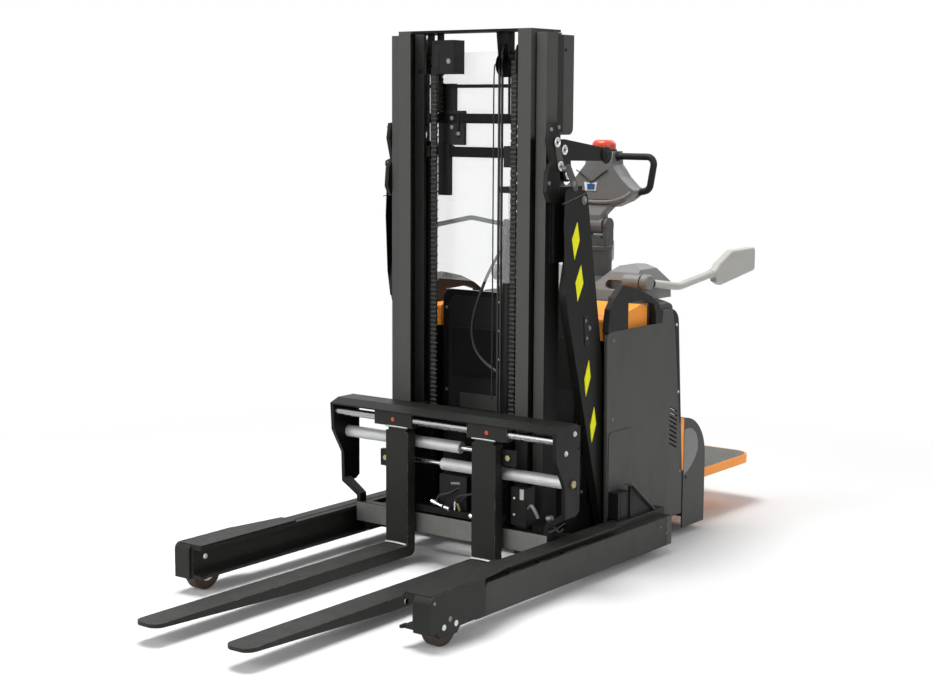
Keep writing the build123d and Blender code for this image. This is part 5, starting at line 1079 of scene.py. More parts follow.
class LinkTree(PatternTree):
    """Stacks of link plates with a pin, for leaf chains."""

    def __init__(self) -> None:
        """Builds the tree."""
        super().__init__(
            "links",
            {
                "Pitch": ("NodeSocketFloat", 0.0159),
                "Width": ("NodeSocketFloat", 0.011),
                "Plate": ("NodeSocketFloat", 0.0021),
                "Stack": ("NodeSocketInt", 4),
            },
        )
        write, out = self.write, self.source.outputs
        half = write.times(out["Width"], 0.5)
        length = write.times(out["Pitch"], 0.95)
        bar = write.add(
            "GeometryNodeMeshCube",
            {"Size": self.vector(length, write.times(out["Width"], 0.8), out["Plate"])},
        ).outputs[0]
        eye = write.add(
            "GeometryNodeMeshCylinder", {"Vertices": 10, "Radius": half, "Depth": out["Plate"]}
        ).outputs[0]
        reach = write.times(length, 0.5)
        ahead = self.moved(eye, self.vector(reach))
        behind = self.moved(eye, self.vector(write.times(reach, -1.0)))
        step = write.times(out["Plate"], 2.0)
        row = write.add(
            "GeometryNodeMeshLine", {"Count": out["Stack"], "Offset": self.vector(z=step)}
        ).outputs[0]
        plates = write.add(
            "GeometryNodeInstanceOnPoints",
            {"Points": row, "Instance": self.joined([bar, ahead, behind])},
        ).outputs[0]
        deep = write.times(step, out["Stack"])
        pin = write.add(
            "GeometryNodeMeshCylinder",
            {"Vertices": 8, "Radius": write.times(half, 0.55), "Depth": write.plus(deep, 0.003)},
        ).outputs[0]
        pin = self.moved(pin, self.vector(reach, 0.0, write.times(deep, 0.5)))
        self.close(out["Geometry"], self.joined([plates, pin]), self.facing())


class RibTree(PatternTree):
    """Rounded ribs across a mat, one at each point."""

    def __init__(self) -> None:
        """Builds the tree."""
        super().__init__(
            "ribs",
            {
                "Length": ("NodeSocketFloat", 0.6),
                "Width": ("NodeSocketFloat", 0.006),
                "Height": ("NodeSocketFloat", 0.002),
            },
        )
        write, out = self.write, self.source.outputs
        bar = write.add(
            "GeometryNodeMeshCube",
            {"Size": self.vector(out["Length"], out["Width"], out["Height"])},
        ).outputs[0]
        size = self.vector(
            write.math("SUBTRACT", out["Length"], 0.002),
            write.times(out["Width"], 0.6),
            write.times(out["Height"], 1.5),
        )
        crest = write.add("GeometryNodeMeshCube", {"Size": size}).outputs[0]
        self.close(out["Geometry"], self.joined([bar, crest]), self.facing())


# ---------------------------------------------------------------- studio


@dataclass
class Studio:
    """A pale floor, soft lamps and the camera at the photograph's angle."""

    eye: Point = (4.821, 3.554, 1.603)
    aim: Point = (0.548, 0.350, 0.849)
    lamp_aim: Point = (0.0, 0.0, 0.7)
    roll: float = 0.005
    lens: float = 65.8
    floor_size: float = 60.0
    floor_glow: float = 0.03
    sky: float = 0.22
    white_from: float = 1.9
    white_to: float = 3.2

    def build(self) -> None:
        """Makes the floor, the world, the lamps and the camera."""
        self._floor()
        self._world()
        self._lamp("key", (0.5, -0.9, 5.8), 2.6, 345.0)
        self._lamp("front", (6.0, -1.6, 2.8), 4.0, 200.0)
        self._lamp("side", (0.2, 6.0, 3.0), 4.0, 105.0)
        self._lamp("back", (-4.5, 0.6, 4.2), 3.4, 60.0)
        self._camera()

    def _floor(self) -> None:
        """Makes the floor, a little brighter to the camera than to the object."""
        mesh = bpy.data.meshes.new("floor")
        h = self.floor_size / 2
        mesh.from_pydata([(-h, -h, 0), (h, -h, 0), (h, h, 0), (-h, h, 0)], [], [(0, 1, 2, 3)])
        floor = bpy.data.objects.new("floor", mesh)
        bpy.context.scene.collection.objects.link(floor)
        material = bpy.data.materials.new("floor")
        material.use_nodes = True
        material.node_tree.nodes.clear()
        write = NodeWriter(material.node_tree)
        matt = write.add("ShaderNodeBsdfDiffuse", {"Color": (0.83, 0.83, 0.83, 1.0)})
        seen = write.add("ShaderNodeLightPath").outputs["Is Camera Ray"]
        glow = write.add(
            "ShaderNodeEmission",
            {"Color": (1, 1, 1, 1), "Strength": write.times(seen, self.floor_glow)},
        )
        both = write.add("ShaderNodeAddShader", {0: matt.outputs[0], 1: glow.outputs[0]})
        place = write.place()
        away = write.add("ShaderNodeVectorMath", {0: place}, operation="LENGTH").outputs["Value"]
        far = write.times(write.ramp(away, self.white_from, self.white_to), seen)
        white = write.add("ShaderNodeEmission", {"Color": (1, 1, 1, 1), "Strength": 1.0})
        shown = write.add("ShaderNodeMixShader", {0: far, 1: both.outputs[0], 2: white.outputs[0]})
        write.add("ShaderNodeOutputMaterial", {"Surface": shown.outputs[0]})
        mesh.materials.append(material)

    def _world(self) -> None:
        """Makes the world: white to the camera, softer to the object."""
        world = bpy.data.worlds.new("studio")
        world.use_nodes = True
        world.node_tree.nodes.clear()
        write = NodeWriter(world.node_tree)
        rays = write.add("ShaderNodeLightPath")
        seen = write.math(
            "MAXIMUM", rays.outputs["Is Camera Ray"], rays.outputs["Is Transmission Ray"]
        )
        seen = write.math("MAXIMUM", seen, rays.outputs["Is Glossy Ray"])
        strength = write.add(
            "ShaderNodeMapRange", {"Value": seen, "To Min": self.sky, "To Max": 1.0}
        ).outputs[0]
        sky = write.add("ShaderNodeBackground", {"Color": (1, 1, 1, 1), "Strength": strength})
        write.add("ShaderNodeOutputWorld", {"Surface": sky.outputs[0]})
        bpy.context.scene.world = world

    def _lamp(self, name: str, place: Point, size: float, power: float) -> None:
        """Adds a square area lamp that faces the object.

        Args:
            name: Its name.
            place: Where it hangs.
            size: The length of its side.
            power: Its power in watts.
        """
        light = bpy.data.lights.new(name, "AREA")
        light.size = size
        light.energy = power
        lamp = bpy.data.objects.new(name, light)
        lamp.location = place
        way = Vector(self.lamp_aim) - Vector(place)
        lamp.rotation_euler = way.to_track_quat("-Z", "Y").to_euler()
        bpy.context.scene.collection.objects.link(lamp)

    def _camera(self) -> None:
        """Makes the camera and the plain view transform."""
        data = bpy.data.cameras.new("camera")
        data.sensor_width = 36.0
        data.sensor_fit = "HORIZONTAL"
        data.lens = self.lens
        data.clip_end = 100.0
        camera = bpy.data.objects.new("camera", data)
        camera.location = self.eye
        look = (Vector(self.aim) - Vector(self.eye)).to_track_quat("-Z", "Y")
        turn = look.to_matrix() @ Matrix.Rotation(self.roll, 3, "Z")
        camera.rotation_euler = turn.to_euler()
        bpy.context.scene.collection.objects.link(camera)
        bpy.context.scene.camera = camera
        bpy.context.scene.view_settings.view_transform = "Standard"


NODE_FINISHES: dict[str, str] = {
    "straddle_leg_left": "leg_paint",
    "straddle_leg_right": "leg_paint",
    "base_frame": "black_paint",
    "battery": "black_plastic",
    "side_panel_left": "panel_paint",
    "side_panel_right": "panel_paint",
    "battery_cover": "orange_plastic",
    "arch_guard": "black_plastic",
    "rear_housing": "panel_paint",
    "wheel_skirt": "skirt_plastic",
    "orange_trim": "orange_plastic",
    "console": "grey_plastic",
    "tiller_yoke": "dark_grey_plastic",
    "tiller_arm": "head_plastic",
    "tiller_grips": "black_plastic",
    "stop_button": "red_plastic",
    "drive_unit": "casting",
    "drive_wheel": "brown_tread",
    "castor_fork": "black_paint",
    "castor_wheel": "brown_tread",
    "load_wheel_left": "brown_tread",
    "load_wheel_right": "brown_tread",
    "platform": "orange_plastic",
    "side_gate_left": "light_grey_plastic",
    "side_gate_right": "light_grey_plastic",
    "mast_base": "black_paint",
    "outer_mast": "rail_paint",
    "mast_guard": "clear_sheet",
    "lift_barrels": "black_paint",
    "upper_levers": "black_paint",
    "inner_mast": "rail_paint",
    "lift_rods": "chrome",
    "lift_chains": "chain_steel",
    "lift_hoses": "hose_rubber",
    "fork_carriage": "black_paint",
    "guide_rod": "guide_steel",
    "positioner_barrels": "silver_barrel",
    "positioner_rod_left": "chrome",
    "positioner_rod_right": "chrome",
    "fork_left": "fork_paint",
    "fork_right": "fork_paint",
    "reach_arm_left": "black_paint",
    "reach_arm_right": "black_paint",
    "reach_link_left": "black_paint",
    "reach_link_right": "black_paint",
}


class Bolt(Enum):
    """Fastener sizes: head radius, head height and washer radius."""

    SMALL = (0.0045, 0.003, 0.006)
    MEDIUM = (0.0070, 0.005, 0.0095)
    LARGE = (0.0105, 0.007, 0.015)
    PIN = (0.0160, 0.006, 0.022)


class BoltBox:
    """Collects fasteners and bakes one object for each body, size and finish."""

    def __init__(self) -> None:
        """Starts with an empty box."""
        self.tree = FastenerTree()
        self.rows: dict[tuple[str, Bolt, str], list[tuple[Point, Point]]] = {}

    def add(self, body: str, size: Bolt, finish: str, facing: Point, *places: Point) -> None:
        """Puts fasteners of one size at some places.

        Args:
            body: The CAD body that carries them.
            size: Their size.
            finish: Their finish.
            facing: The direction in which their heads point.
            places: Where their washers stand.
        """
        self.rows.setdefault((body, size, finish), []).extend((place, facing) for place in places)

    def bake(self, shop: Workshop) -> None:
        """Makes the objects of every row."""
        for (body, size, finish), row in self.rows.items():
            head, height, washer = size.value
            self.tree.bake(
                shop,
                f"fasteners_{body}_{size.name.lower()}_{finish}",
                [place for place, _ in row],
                [facing for _, facing in row],
                [Vector(facing).orthogonal() for _, facing in row],
                finish,
                body,
                Head_radius=head,
                Head_height=height,
                Washer_radius=washer,
            )


# ---------------------------------------------------------------- sub-assemblies


@dataclass
class Legs:
    """Straddle legs: top flanges, slots, tabs, side plates, screw heads and bolts."""

    rail_inner: float = 0.428
    rail_outer: float = 0.475
    box_outer: float = 0.505
    wheel_outer: float = 0.542
    rail_top: float = 0.165
    wheel_top: float = 0.170
    box_top: float = 0.140
    flange_rear: float = -0.155
    taper_rear: float = 0.520
    wheel_rear: float = 0.701
    nose: float = 0.974
    side_rear: float = -0.4975
    side_bottom: float = 0.033
    slots: tuple[tuple[float, float], ...] = (
        (-0.06, 0.05), (0.22, 0.31), (0.36, 0.45), (0.53, 0.66)
    )
    tabs: tuple[float, ...] = (0.735, 0.800, 0.865, 0.925)
    heads: tuple[tuple[float, float, float, str], ...] = (
        (0.908, 0.066, 0.0095, "zinc"),
        (0.848, 0.066, 0.0095, "zinc"),
        (0.878, 0.086, 0.0085, "casting"),
        (0.955, 0.150, 0.0055, "casting"),
        (0.742, 0.112, 0.0055, "black_plastic"),
    )
    head_shape: tuple[Point, ...] = (
        (1.0, -0.001),
        (1.0, 0.00001),
        (0.80, 0.00003),
        (0.45, 0.00003),
        (0.40, 0.00002),
        (0.0, 0.00002),
    )

    def build(self, shop: Workshop, bolts: BoltBox) -> None:
        """Adds the details of both legs.

        Args:
            shop: The workshop with the finishes.
            bolts: The box that collects the fasteners.
        """
        for side, name in SIDES:
            self._flange(shop, side, name)
            out = (0, side, 0)
            y = side * self.wheel_outer
            heads = Piece(f"leg_screws_{name}")
            for x, z, radius, finish in self.heads:
                rim = [(0.0, -0.001)] + [(share * radius, rise) for share, rise in self.head_shape]
                heads.turned(rim, (x, y, z), out, finish, 24)
            heads.finish(shop, "chassis", "black_paint")
            bolts.add(
                "chassis", Bolt.SMALL, "casting", out, (-0.42, side * self.box_outer, 0.11),
                (-0.46, side * self.box_outer, 0.08),
            )
            bolts.add(
                "chassis", Bolt.MEDIUM, "zinc", (0, -side, 0),
                (0.945, side * self.rail_inner, 0.135),
            )
            bolts.add(
                "chassis", Bolt.SMALL, "black_plastic", (0, -side, 0),
                (0.740, side * self.rail_inner, 0.110),
            )

    def _flange(self, shop: Workshop, side: int, name: str) -> None:
        """Adds a leg's top flange, its dark slots, its tabs and its end plates.

        Args:
            shop: The workshop with the finishes.
            side: 1 for the left side and -1 for the right.
            name: The side's name.
        """
        piece = Piece(f"leg_details_{name}")
        edge = self.box_outer - 0.005
        plan = (
            (self.flange_rear, self.rail_outer - 0.02), (self.taper_rear, self.rail_outer - 0.02),
            (self.taper_rear, edge), (self.flange_rear, edge),
        )
        piece.prism(
            [(x, side * y) for x, y in plan], Axis.Z, self.rail_top - 0.005, self.rail_top + 0.0015,
            "leg_paint", 0.0008,
        )
        plan = (
            (self.taper_rear - 0.02, self.rail_inner + 0.003),
            (self.nose - 0.012, self.rail_inner + 0.003),
            (self.nose - 0.012, self.wheel_outer - 0.010),
            (self.wheel_rear, self.wheel_outer - 0.010),
            (self.taper_rear - 0.02, edge),
        )
        piece.prism(
            [(x, side * y) for x, y in plan], Axis.Z, self.wheel_top - 0.006,
            self.wheel_top + 0.0018, "leg_paint", 0.0008,
        )
        for low, high in self.slots:
            spread = span(side, self.rail_outer + 0.001, self.box_outer - 0.011)
            piece.block(
                (low, spread[0], self.box_top - 0.001), (high, spread[1], self.box_top + 0.0008),
                "black_plastic", 0.0004,
            )
        for (_, low), (high, _) in zip(self.slots, self.slots[1:]):
            spread = span(side, self.rail_outer + 0.012, self.box_outer - 0.001)
            piece.block(
                (low + 0.012, spread[0], self.box_top - 0.001),
                (high - 0.012, spread[1], self.box_top + 0.003), "leg_paint", 0.001,
            )
        for x in self.tabs:
            spread = span(side, self.wheel_outer - 0.0125, self.wheel_outer - 0.0015)
            piece.block(
                (x - 0.018, spread[0], self.wheel_top - 0.001),
                (x + 0.018, spread[1], self.wheel_top + 0.0008), "black_plastic", 0.0003,
            )
        spread = span(side, self.box_outer - 0.0035, self.box_outer + 0.0012)
        piece.block(
            (self.side_rear, spread[0], self.side_bottom),
            (self.wheel_rear - 0.001, spread[1], self.box_top - 0.002), "side_plate_paint", 0.0008,
        )
        # vertical seam of the wheel box, rear end strip of the side plate
        spread = span(side, self.wheel_outer - 0.0005, self.wheel_outer + 0.00003)
        piece.block(
            (self.wheel_rear + 0.003, spread[0], 0.060),
            (self.wheel_rear + 0.006, spread[1], 0.164), "black_plastic", 0.0,
        )
        spread = span(side, self.box_outer, self.box_outer + 0.0024)
        piece.block(
            (-0.497, spread[0], 0.036), (-0.463, spread[1], 0.137), "charcoal_paint", 0.0006
        )
        spread = span(side, self.rail_inner - 0.007, self.rail_inner + 0.004)
        piece.block(
            (self.nose - 0.030, spread[0], 0.0585), (self.nose - 0.002, spread[1], 0.068),
            "leg_paint", 0.001,
        )
        piece.finish(shop, "chassis", "black_paint")


@dataclass
class Chassis:
    """Body shells: raised and dark areas, the gusset's flange, the front plate."""

    half_width: float = 0.410
    front: float = -0.205
    gusset_y: float = 0.455

    def build(self, shop: Workshop, bolts: BoltBox) -> None:
        """Adds the details of the body.

        Args:
            shop: The workshop with the finishes.
            bolts: The box that collects the fasteners.
        """
        self._front_plate(shop)
        for side, name in SIDES:
            self._side(shop, side, name)
            out = (0, side, 0)
            y = side * (self.half_width + 0.0006)
            bolts.add("chassis", Bolt.SMALL, "zinc", out, (-0.670, y, 0.815), (-0.693, y, 0.560))
            bolts.add(
                "chassis", Bolt.SMALL, "casting", out, (-0.232, y, 0.80), (-0.232, y, 0.52),
                (-0.715, y, 0.252),
            )
            bolts.add(
                "chassis", Bolt.SMALL, "black_plastic", out, (-0.765, side * self.half_width, 0.222)
            )
            bolts.add(
                "chassis", Bolt.SMALL, "casting", AHEAD,
                *((self.front + 0.003, side * 0.305, z) for z in (0.25, 0.56, 0.87)),
            )
        bolts.add(
            "chassis", Bolt.SMALL, "casting", (-1, 0, 0),
            *((-0.911, side * y, 0.40) for side in (1, -1) for y in (0.14, 0.24)),
        )
        bolts.add(
            "battery_lid", Bolt.SMALL, "zinc", UP, *((-0.30, y, 0.8832) for y in (-0.25, 0.25))
        )

    def _side(self, shop: Workshop, side: int, name: str) -> None:
        """Adds the areas and seams of one side.

        Args:
            shop: The workshop with the finishes.
            side: 1 for the left side and -1 for the right.
            name: The side's name.
        """
        piece = Piece(f"body_side_{name}")

        def sheet(
            outline: Sequence[Point],
            thick: float,
            finish: str,
            bevel: float,
            y: float = self.half_width,
        ) -> None:
            """Adds a flat area on the side."""
            piece.prism(outline, Axis.Y, *span(side, y - 0.0004, y + thick), finish, bevel)

        sheet(
            [
                (-0.2075, 0.172), (-0.2075, 0.462), (-0.218, 0.474), (-0.352, 0.474),
                (-0.366, 0.462), (-0.366, 0.172),
            ],
            0.003, "panel_paint", 0.0022,
        )
        sheet(
            [
                (-0.642, 0.8725), (-0.663, 0.8625), (-0.6745, 0.850), (-0.6825, 0.832),
                (-0.6845, 0.815), (-0.7195, 0.440), (-0.709, 0.440), (-0.660, 0.815),
                (-0.652, 0.842),
            ],
            0.0005, "black_plastic", 0.0,
        )
        crescent = [
            (-0.7455, 0.408), (-0.775, 0.411), (-0.806, 0.404), (-0.834, 0.384), (-0.850, 0.352),
            (-0.849, 0.318), (-0.832, 0.290), (-0.803, 0.262), (-0.772, 0.244), (-0.7455, 0.234),
        ]
        sheet(crescent, 0.0022, "grey_plastic", 0.0018)
        # diagonal flange and foot plate of the leg's gusset
        slope = [
            (-0.262, 0.2835), (-0.283, 0.2885), (-0.4425, 0.1665), (-0.4395, 0.1655),
            (-0.4360, 0.1655), (-0.281, 0.2840),
        ]
        piece.prism(
            slope, Axis.Y, *span(side, self.gusset_y - 0.014, self.gusset_y + 0.016),
            "charcoal_paint", 0.0006,
        )
        ys = span(side, self.gusset_y + 0.0001, self.gusset_y + 0.0006)
        piece.block((-0.2305, ys[0], 0.172), (-0.2255, ys[1], 0.256), "black_plastic", 0.0)
        y = side * (self.gusset_y + 0.004)
        piece.tube([(-0.440, y, 0.166), (-0.284, y, 0.166)], 0.003, "leg_paint", 8)
        piece.finish(shop, "chassis", "black_plastic")

    def _front_plate(self, shop: Workshop) -> None:
        """Adds the two-part cover on the body's front, and a painted highlight along its top edge.

        Args:
            shop: The workshop with the finishes.
        """
        piece = Piece("front_cover")
        x = self.front
        outline = [
            (-0.295, 0.36), (-0.295, 0.892), (-0.270, 0.918), (0.270, 0.918), (0.295, 0.892),
            (0.295, 0.36),
        ]
        piece.prism(outline, Axis.X, x - 0.0004, x + 0.003, "black_plastic", 0.0018)
        for low, high in ((-0.275, -0.012), (0.012, 0.275)):
            piece.block((x + 0.0028, low, 0.62), (x + 0.0044, high, 0.80), "black_paint", 0.001)
        piece.block((x + 0.0028, -0.24, 0.500), (x + 0.0065, 0.02, 0.556), "charcoal_paint", 0.002)
        # a thin bright steel strip along the top edge is a painted highlight
        piece.block((x - 0.004, -0.31, 0.9398), (x + 0.0005, 0.31, 0.9412), "worn_steel", 0.0003)
        piece.finish(shop, "chassis", "black_plastic")


@dataclass
class Platform:
    """The folding platform's ribbed mat inside its orange rim."""

    front: float = -0.950
    rear: float = -1.425
    half: float = 0.341
    corner: float = 0.072
    top: float = 0.205
    rib_length: float = 0.026
    rib_gap: Point = (0.030, 0.017)
    rib_inset: float = 0.018
    rib_slant: Point = (0.84, 0.54, 0.0)
    thick: float = 0.0012

    def outline(self) -> list[Point]:
        """Returns the mat's outline in X and Y."""
        points: list[Point] = [(self.front, self.half), (self.front, -self.half)]
        for side, start in ((-1, 1.5 * math.pi), (1, math.pi)):
            centre = (self.rear + self.corner, side * (self.half - self.corner))
            turns = [start - 0.5 * math.pi * i / 8 for i in range(9)]
            points += [
                (centre[0] + self.corner * math.cos(a), centre[1] + self.corner * math.sin(a))
                for a in turns
            ]
        return points

    def build(self, shop: Workshop, bolts: BoltBox) -> None:
        """Adds the mat and its ribs.

        Args:
            shop: The workshop with the finishes.
            bolts: The box that collects the fasteners; not used.
        """
        mat = Piece("platform_mat")
        mat.prism(
            self.outline(), Axis.Z, self.top - 0.0005, self.top + self.thick, "mat_rubber", 0.0008
        )
        mat.finish(shop, "platform", "platform_rubber")
        points: list[Point] = []
        alongs: list[Point] = []
        columns = int((self.front - self.rear) / self.rib_gap[0])
        rows = int(2 * self.half / self.rib_gap[1])
        for i in range(1, columns):
            for j in range(1, rows):
                x = self.rear + i * self.rib_gap[0]
                y = -self.half + (j + 0.5 * (i % 2)) * self.rib_gap[1]
                inset = self.rear + self.corner - x
                turn = math.sqrt(max(0.0, self.corner**2 - max(0.0, inset) ** 2))
                reach = self.half - self.corner + turn
                if abs(y) < reach - self.rib_inset:
                    points.append((x, y, self.top + self.thick))
                    alongs.append(self.rib_slant)
        RibTree().bake(
            shop, "platform_ribs", points, [UP] * len(points), alongs, "mat_rubber", "platform",
            Length=self.rib_length, Width=0.0055, Height=0.0022,
        )


@dataclass
class Tiller:
    """The control head: seam, display, band, rockers, clamps, pivot discs."""

    face: float = -0.755
    head_x: float = -0.797
    head_y: float = 0.060
    column: Point = (-0.765, 0.0, 0.970)
    yoke_z: float = 1.160
    gate_x: float = -0.572
    gate_y: float = 0.335
    gate_z: float = 0.974
    clamp_x: float = -0.805

    def build(self, shop: Workshop, bolts: BoltBox) -> None:
        """Adds the details of the head, the yoke and the gates' pivots.

        Args:
            shop: The workshop with the finishes.
            bolts: The box that collects the fasteners; not used.
        """
        head = Piece("tiller_details")
        seam = [
            (self.face, y, z)
            for y, z in (
                (-0.098, 1.372), (-0.082, 1.364), (-0.040, 1.334), (-0.028, 1.329), (-0.016, 1.334),
                (0.026, 1.364), (0.044, 1.374),
            )
        ]
        head.tube([(x + 0.0012, y, z) for x, y, z in seam], 0.0022, "black_plastic", 8)
        head.prism(
            [(-0.060, 1.328), (-0.054, 1.294), (-0.006, 1.294), (0.000, 1.328), (-0.030, 1.320)],
            Axis.X, self.face, self.face + 0.0045, "chalk_plastic", 0.001,
        )
        head.prism(
            [(-0.046, 1.321), (-0.043, 1.298), (-0.012, 1.298), (-0.009, 1.321)], Axis.X,
            self.face + 0.004, self.face + 0.0052, "display", 0.0006,
        )
        head.cord(
            [
                (self.face - 0.002, y, z)
                for y, z in (
                    (-0.150, 1.292), (-0.118, 1.272), (-0.060, 1.256), (0.0, 1.252), (0.060, 1.256),
                    (0.118, 1.272), (0.150, 1.292),
                )
            ],
            6, 0.008, "grey_plastic", 12,
        )
        for side, _ in SIDES:
            for y, z in ((0.078, 1.352), (0.098, 1.330)):
                head.block(
                    (self.head_x - 0.010, side * y - 0.0045, z - 0.016),
                    (self.head_x + 0.010, side * y + 0.0045, z + 0.014), "black_plastic", 0.003,
                )
            head.rod(
                (self.clamp_x, side * (self.head_y - 0.014), 1.427),
                (self.clamp_x, side * (self.head_y + 0.006), 1.427), 0.0175, "black_plastic", 0.003,
            )
            head.rod(
                (self.clamp_x, side * 0.128, 1.283), (self.clamp_x, side * 0.146, 1.290), 0.0165,
                "black_plastic", 0.003,
            )
        head.turned(
            [(0.0, 0.0), (0.049, 0.0), (0.051, 0.003), (0.049, 0.009), (0.0, 0.009)],
            (self.head_x, 0.0, 1.4445), UP, "black_plastic",
        )
        head.finish(shop, "tiller_arm", "grey_plastic")
        sleeve = Piece("column_sleeve")
        sleeve.turned(
            [
                (0.0, 0.0), (0.0546, 0.0), (0.0546, 0.094), (0.0575, 0.098), (0.0575, 0.112),
                (0.0555, 0.1145), (0.0, 0.1145),
            ],
            self.column, UP, "dark_grey_plastic", 48,
        )
        sleeve.finish(shop, "chassis", "grey_plastic")
        yoke = Piece("yoke_details")
        yoke.block((-0.806, -0.036, 1.108), (-0.724, 0.036, 1.1235), "dark_grey_plastic", 0.003)
        for side, _ in SIDES:
            out = (0, side, 0)
            disc = [
                (0.0, 0.0), (0.026, 0.0), (0.027, 0.002), (0.025, 0.005), (0.012, 0.006),
                (0.010, 0.004), (0.0, 0.004),
            ]
            yoke.turned(
                disc, (self.column[0], side * 0.0455, self.yoke_z), out, "dark_grey_plastic"
            )
        yoke.finish(shop, "tiller_yoke", "grey_plastic")
        for side, name in SIDES:
            body = f"side_gate_{name}"
            socket = Piece(f"gate_socket_{body}")
            ys = span(side, self.gate_y - 0.0165, self.gate_y + 0.0175)
            socket.rod(
                (self.gate_x, ys[0], self.gate_z), (self.gate_x, ys[1], self.gate_z), 0.0305,
                "grey_plastic", 0.005, 32,
            )
            socket.rod(
                (-0.6005, side * self.gate_y, 0.9702), (-0.612, side * self.gate_y, 0.9686), 0.0182,
                "black_plastic", 0.002,
            )
            socket.rod(
                (-1.056, side * self.gate_y, 0.9702), (-1.072, side * self.gate_y, 0.9725), 0.0185,
                "light_grey_plastic", 0.004,
            )
            socket.finish(shop, body, "grey_plastic")


@dataclass
class Mast:
    """Fixed part of the mast: pane strips, bent bar, third barrel, head blocks, screws."""

    side_y: float = 0.332
    barrel: Point = (-0.054, 0.088)
    barrel_top: float = 1.222
    rod_top: float = 1.317
    pivot: Point = (-0.262, 1.447)
    bar_x: float = -0.034
    loop_x: float = -0.060
    guard_front: float = -0.0165

    def build(self, shop: Workshop, bolts: BoltBox) -> None:
        """Adds the details of the outer mast.

        Args:
            shop: The workshop with the finishes.
            bolts: The box that collects the fasteners.
        """
        piece = Piece("mast_details")
        for side, _ in SIDES:
            ys = span(side, self.side_y, self.side_y + 0.0006)
            # a black strip on each side of the mast head is painted shade, standing in for a
            # recessed gap
            piece.block((-0.012, ys[0], 1.528), (0.022, ys[1], 1.850), "black_plastic", 0.0)
            guard = span(side, 0.231, 0.226)
            piece.block(
                (-0.026, guard[0], 1.000), (self.guard_front, guard[1], 1.800), "black_paint", 0.001
            )
        bar = ((-0.228, 1.190), (-0.075, 1.222), (-0.060, 1.2225), (0.228, 1.186))
        piece.tube([(self.bar_x, y, z) for y, z in bar], 0.0085, "black_plastic", 10)
        x, y = self.barrel
        piece.turned(
            [
                (0.0, 0.0), (0.026, 0.0), (0.027, 0.002), (0.027, self.barrel_top - 0.112),
                (0.024, self.barrel_top - 0.10), (0.0, self.barrel_top - 0.10),
            ],
            (x, y, 0.10), UP, "black_paint",
        )
        piece.rod((x, y, self.barrel_top - 0.002), (x, y, self.rod_top), 0.0065, "chrome")
        piece.block(
            (x - 0.012, y - 0.020, self.rod_top - 0.002),
            (self.guard_front, y + 0.020, self.rod_top + 0.020), "black_paint", 0.002,
        )
        loop = (
            (0.060, 1.130), (0.020, 1.075), (-0.026, 0.995), (-0.068, 0.890), (-0.082, 0.815),
            (-0.064, 0.745), (-0.010, 0.695), (0.062, 0.664),
        )
        piece.cord([(self.loop_x, y, z) for y, z in loop], 6, 0.0055, "hose_rubber", 10)
        # wheel housing, guide block and hanging stud at the far head of the mast
        piece.block(
            (self.guard_front, -0.188, 1.300), (0.004, -0.140, 1.484), "black_plastic", 0.002
        )
        piece.block((self.guard_front, 0.104, 1.405), (0.012, 0.166, 1.478), "black_plastic", 0.010)
        piece.rod((0.000, -0.100, 1.505), (0.000, -0.100, 1.590), 0.006, "black_paint")
        piece.rod((0.000, -0.100, 1.512), (0.000, -0.100, 1.524), 0.011, "casting", 0.001, 6)
        piece.block((-0.016, -0.190, 1.478), (0.000, -0.078, 1.598), "black_plastic", 0.006)
        piece.block((-0.016, -0.196, 1.590), (-0.001, -0.118, 1.692), "black_paint", 0.006)
        for z in (1.540, 1.572):
            piece.rod((-0.002, -0.128, z), (0.005, -0.128, z), 0.0085, "casting", 0.001, 6)
        piece.finish(shop, "mast", "black_paint")
        for side, _ in SIDES:
            out = (0, side, 0)
            y = side * (self.side_y + 0.016)
            bolts.add("mast", Bolt.PIN, "black_paint", out, (self.pivot[0], y, self.pivot[1]))
            bolts.add("mast", Bolt.SMALL, "black_plastic", out, (-0.024, y - side * 0.016, 1.802))
            bolts.add(
                "mast", Bolt.SMALL, "zinc", AHEAD,
                *((self.guard_front, side * 0.2285, 1.03 + 0.105 * i) for i in range(8)),
            )


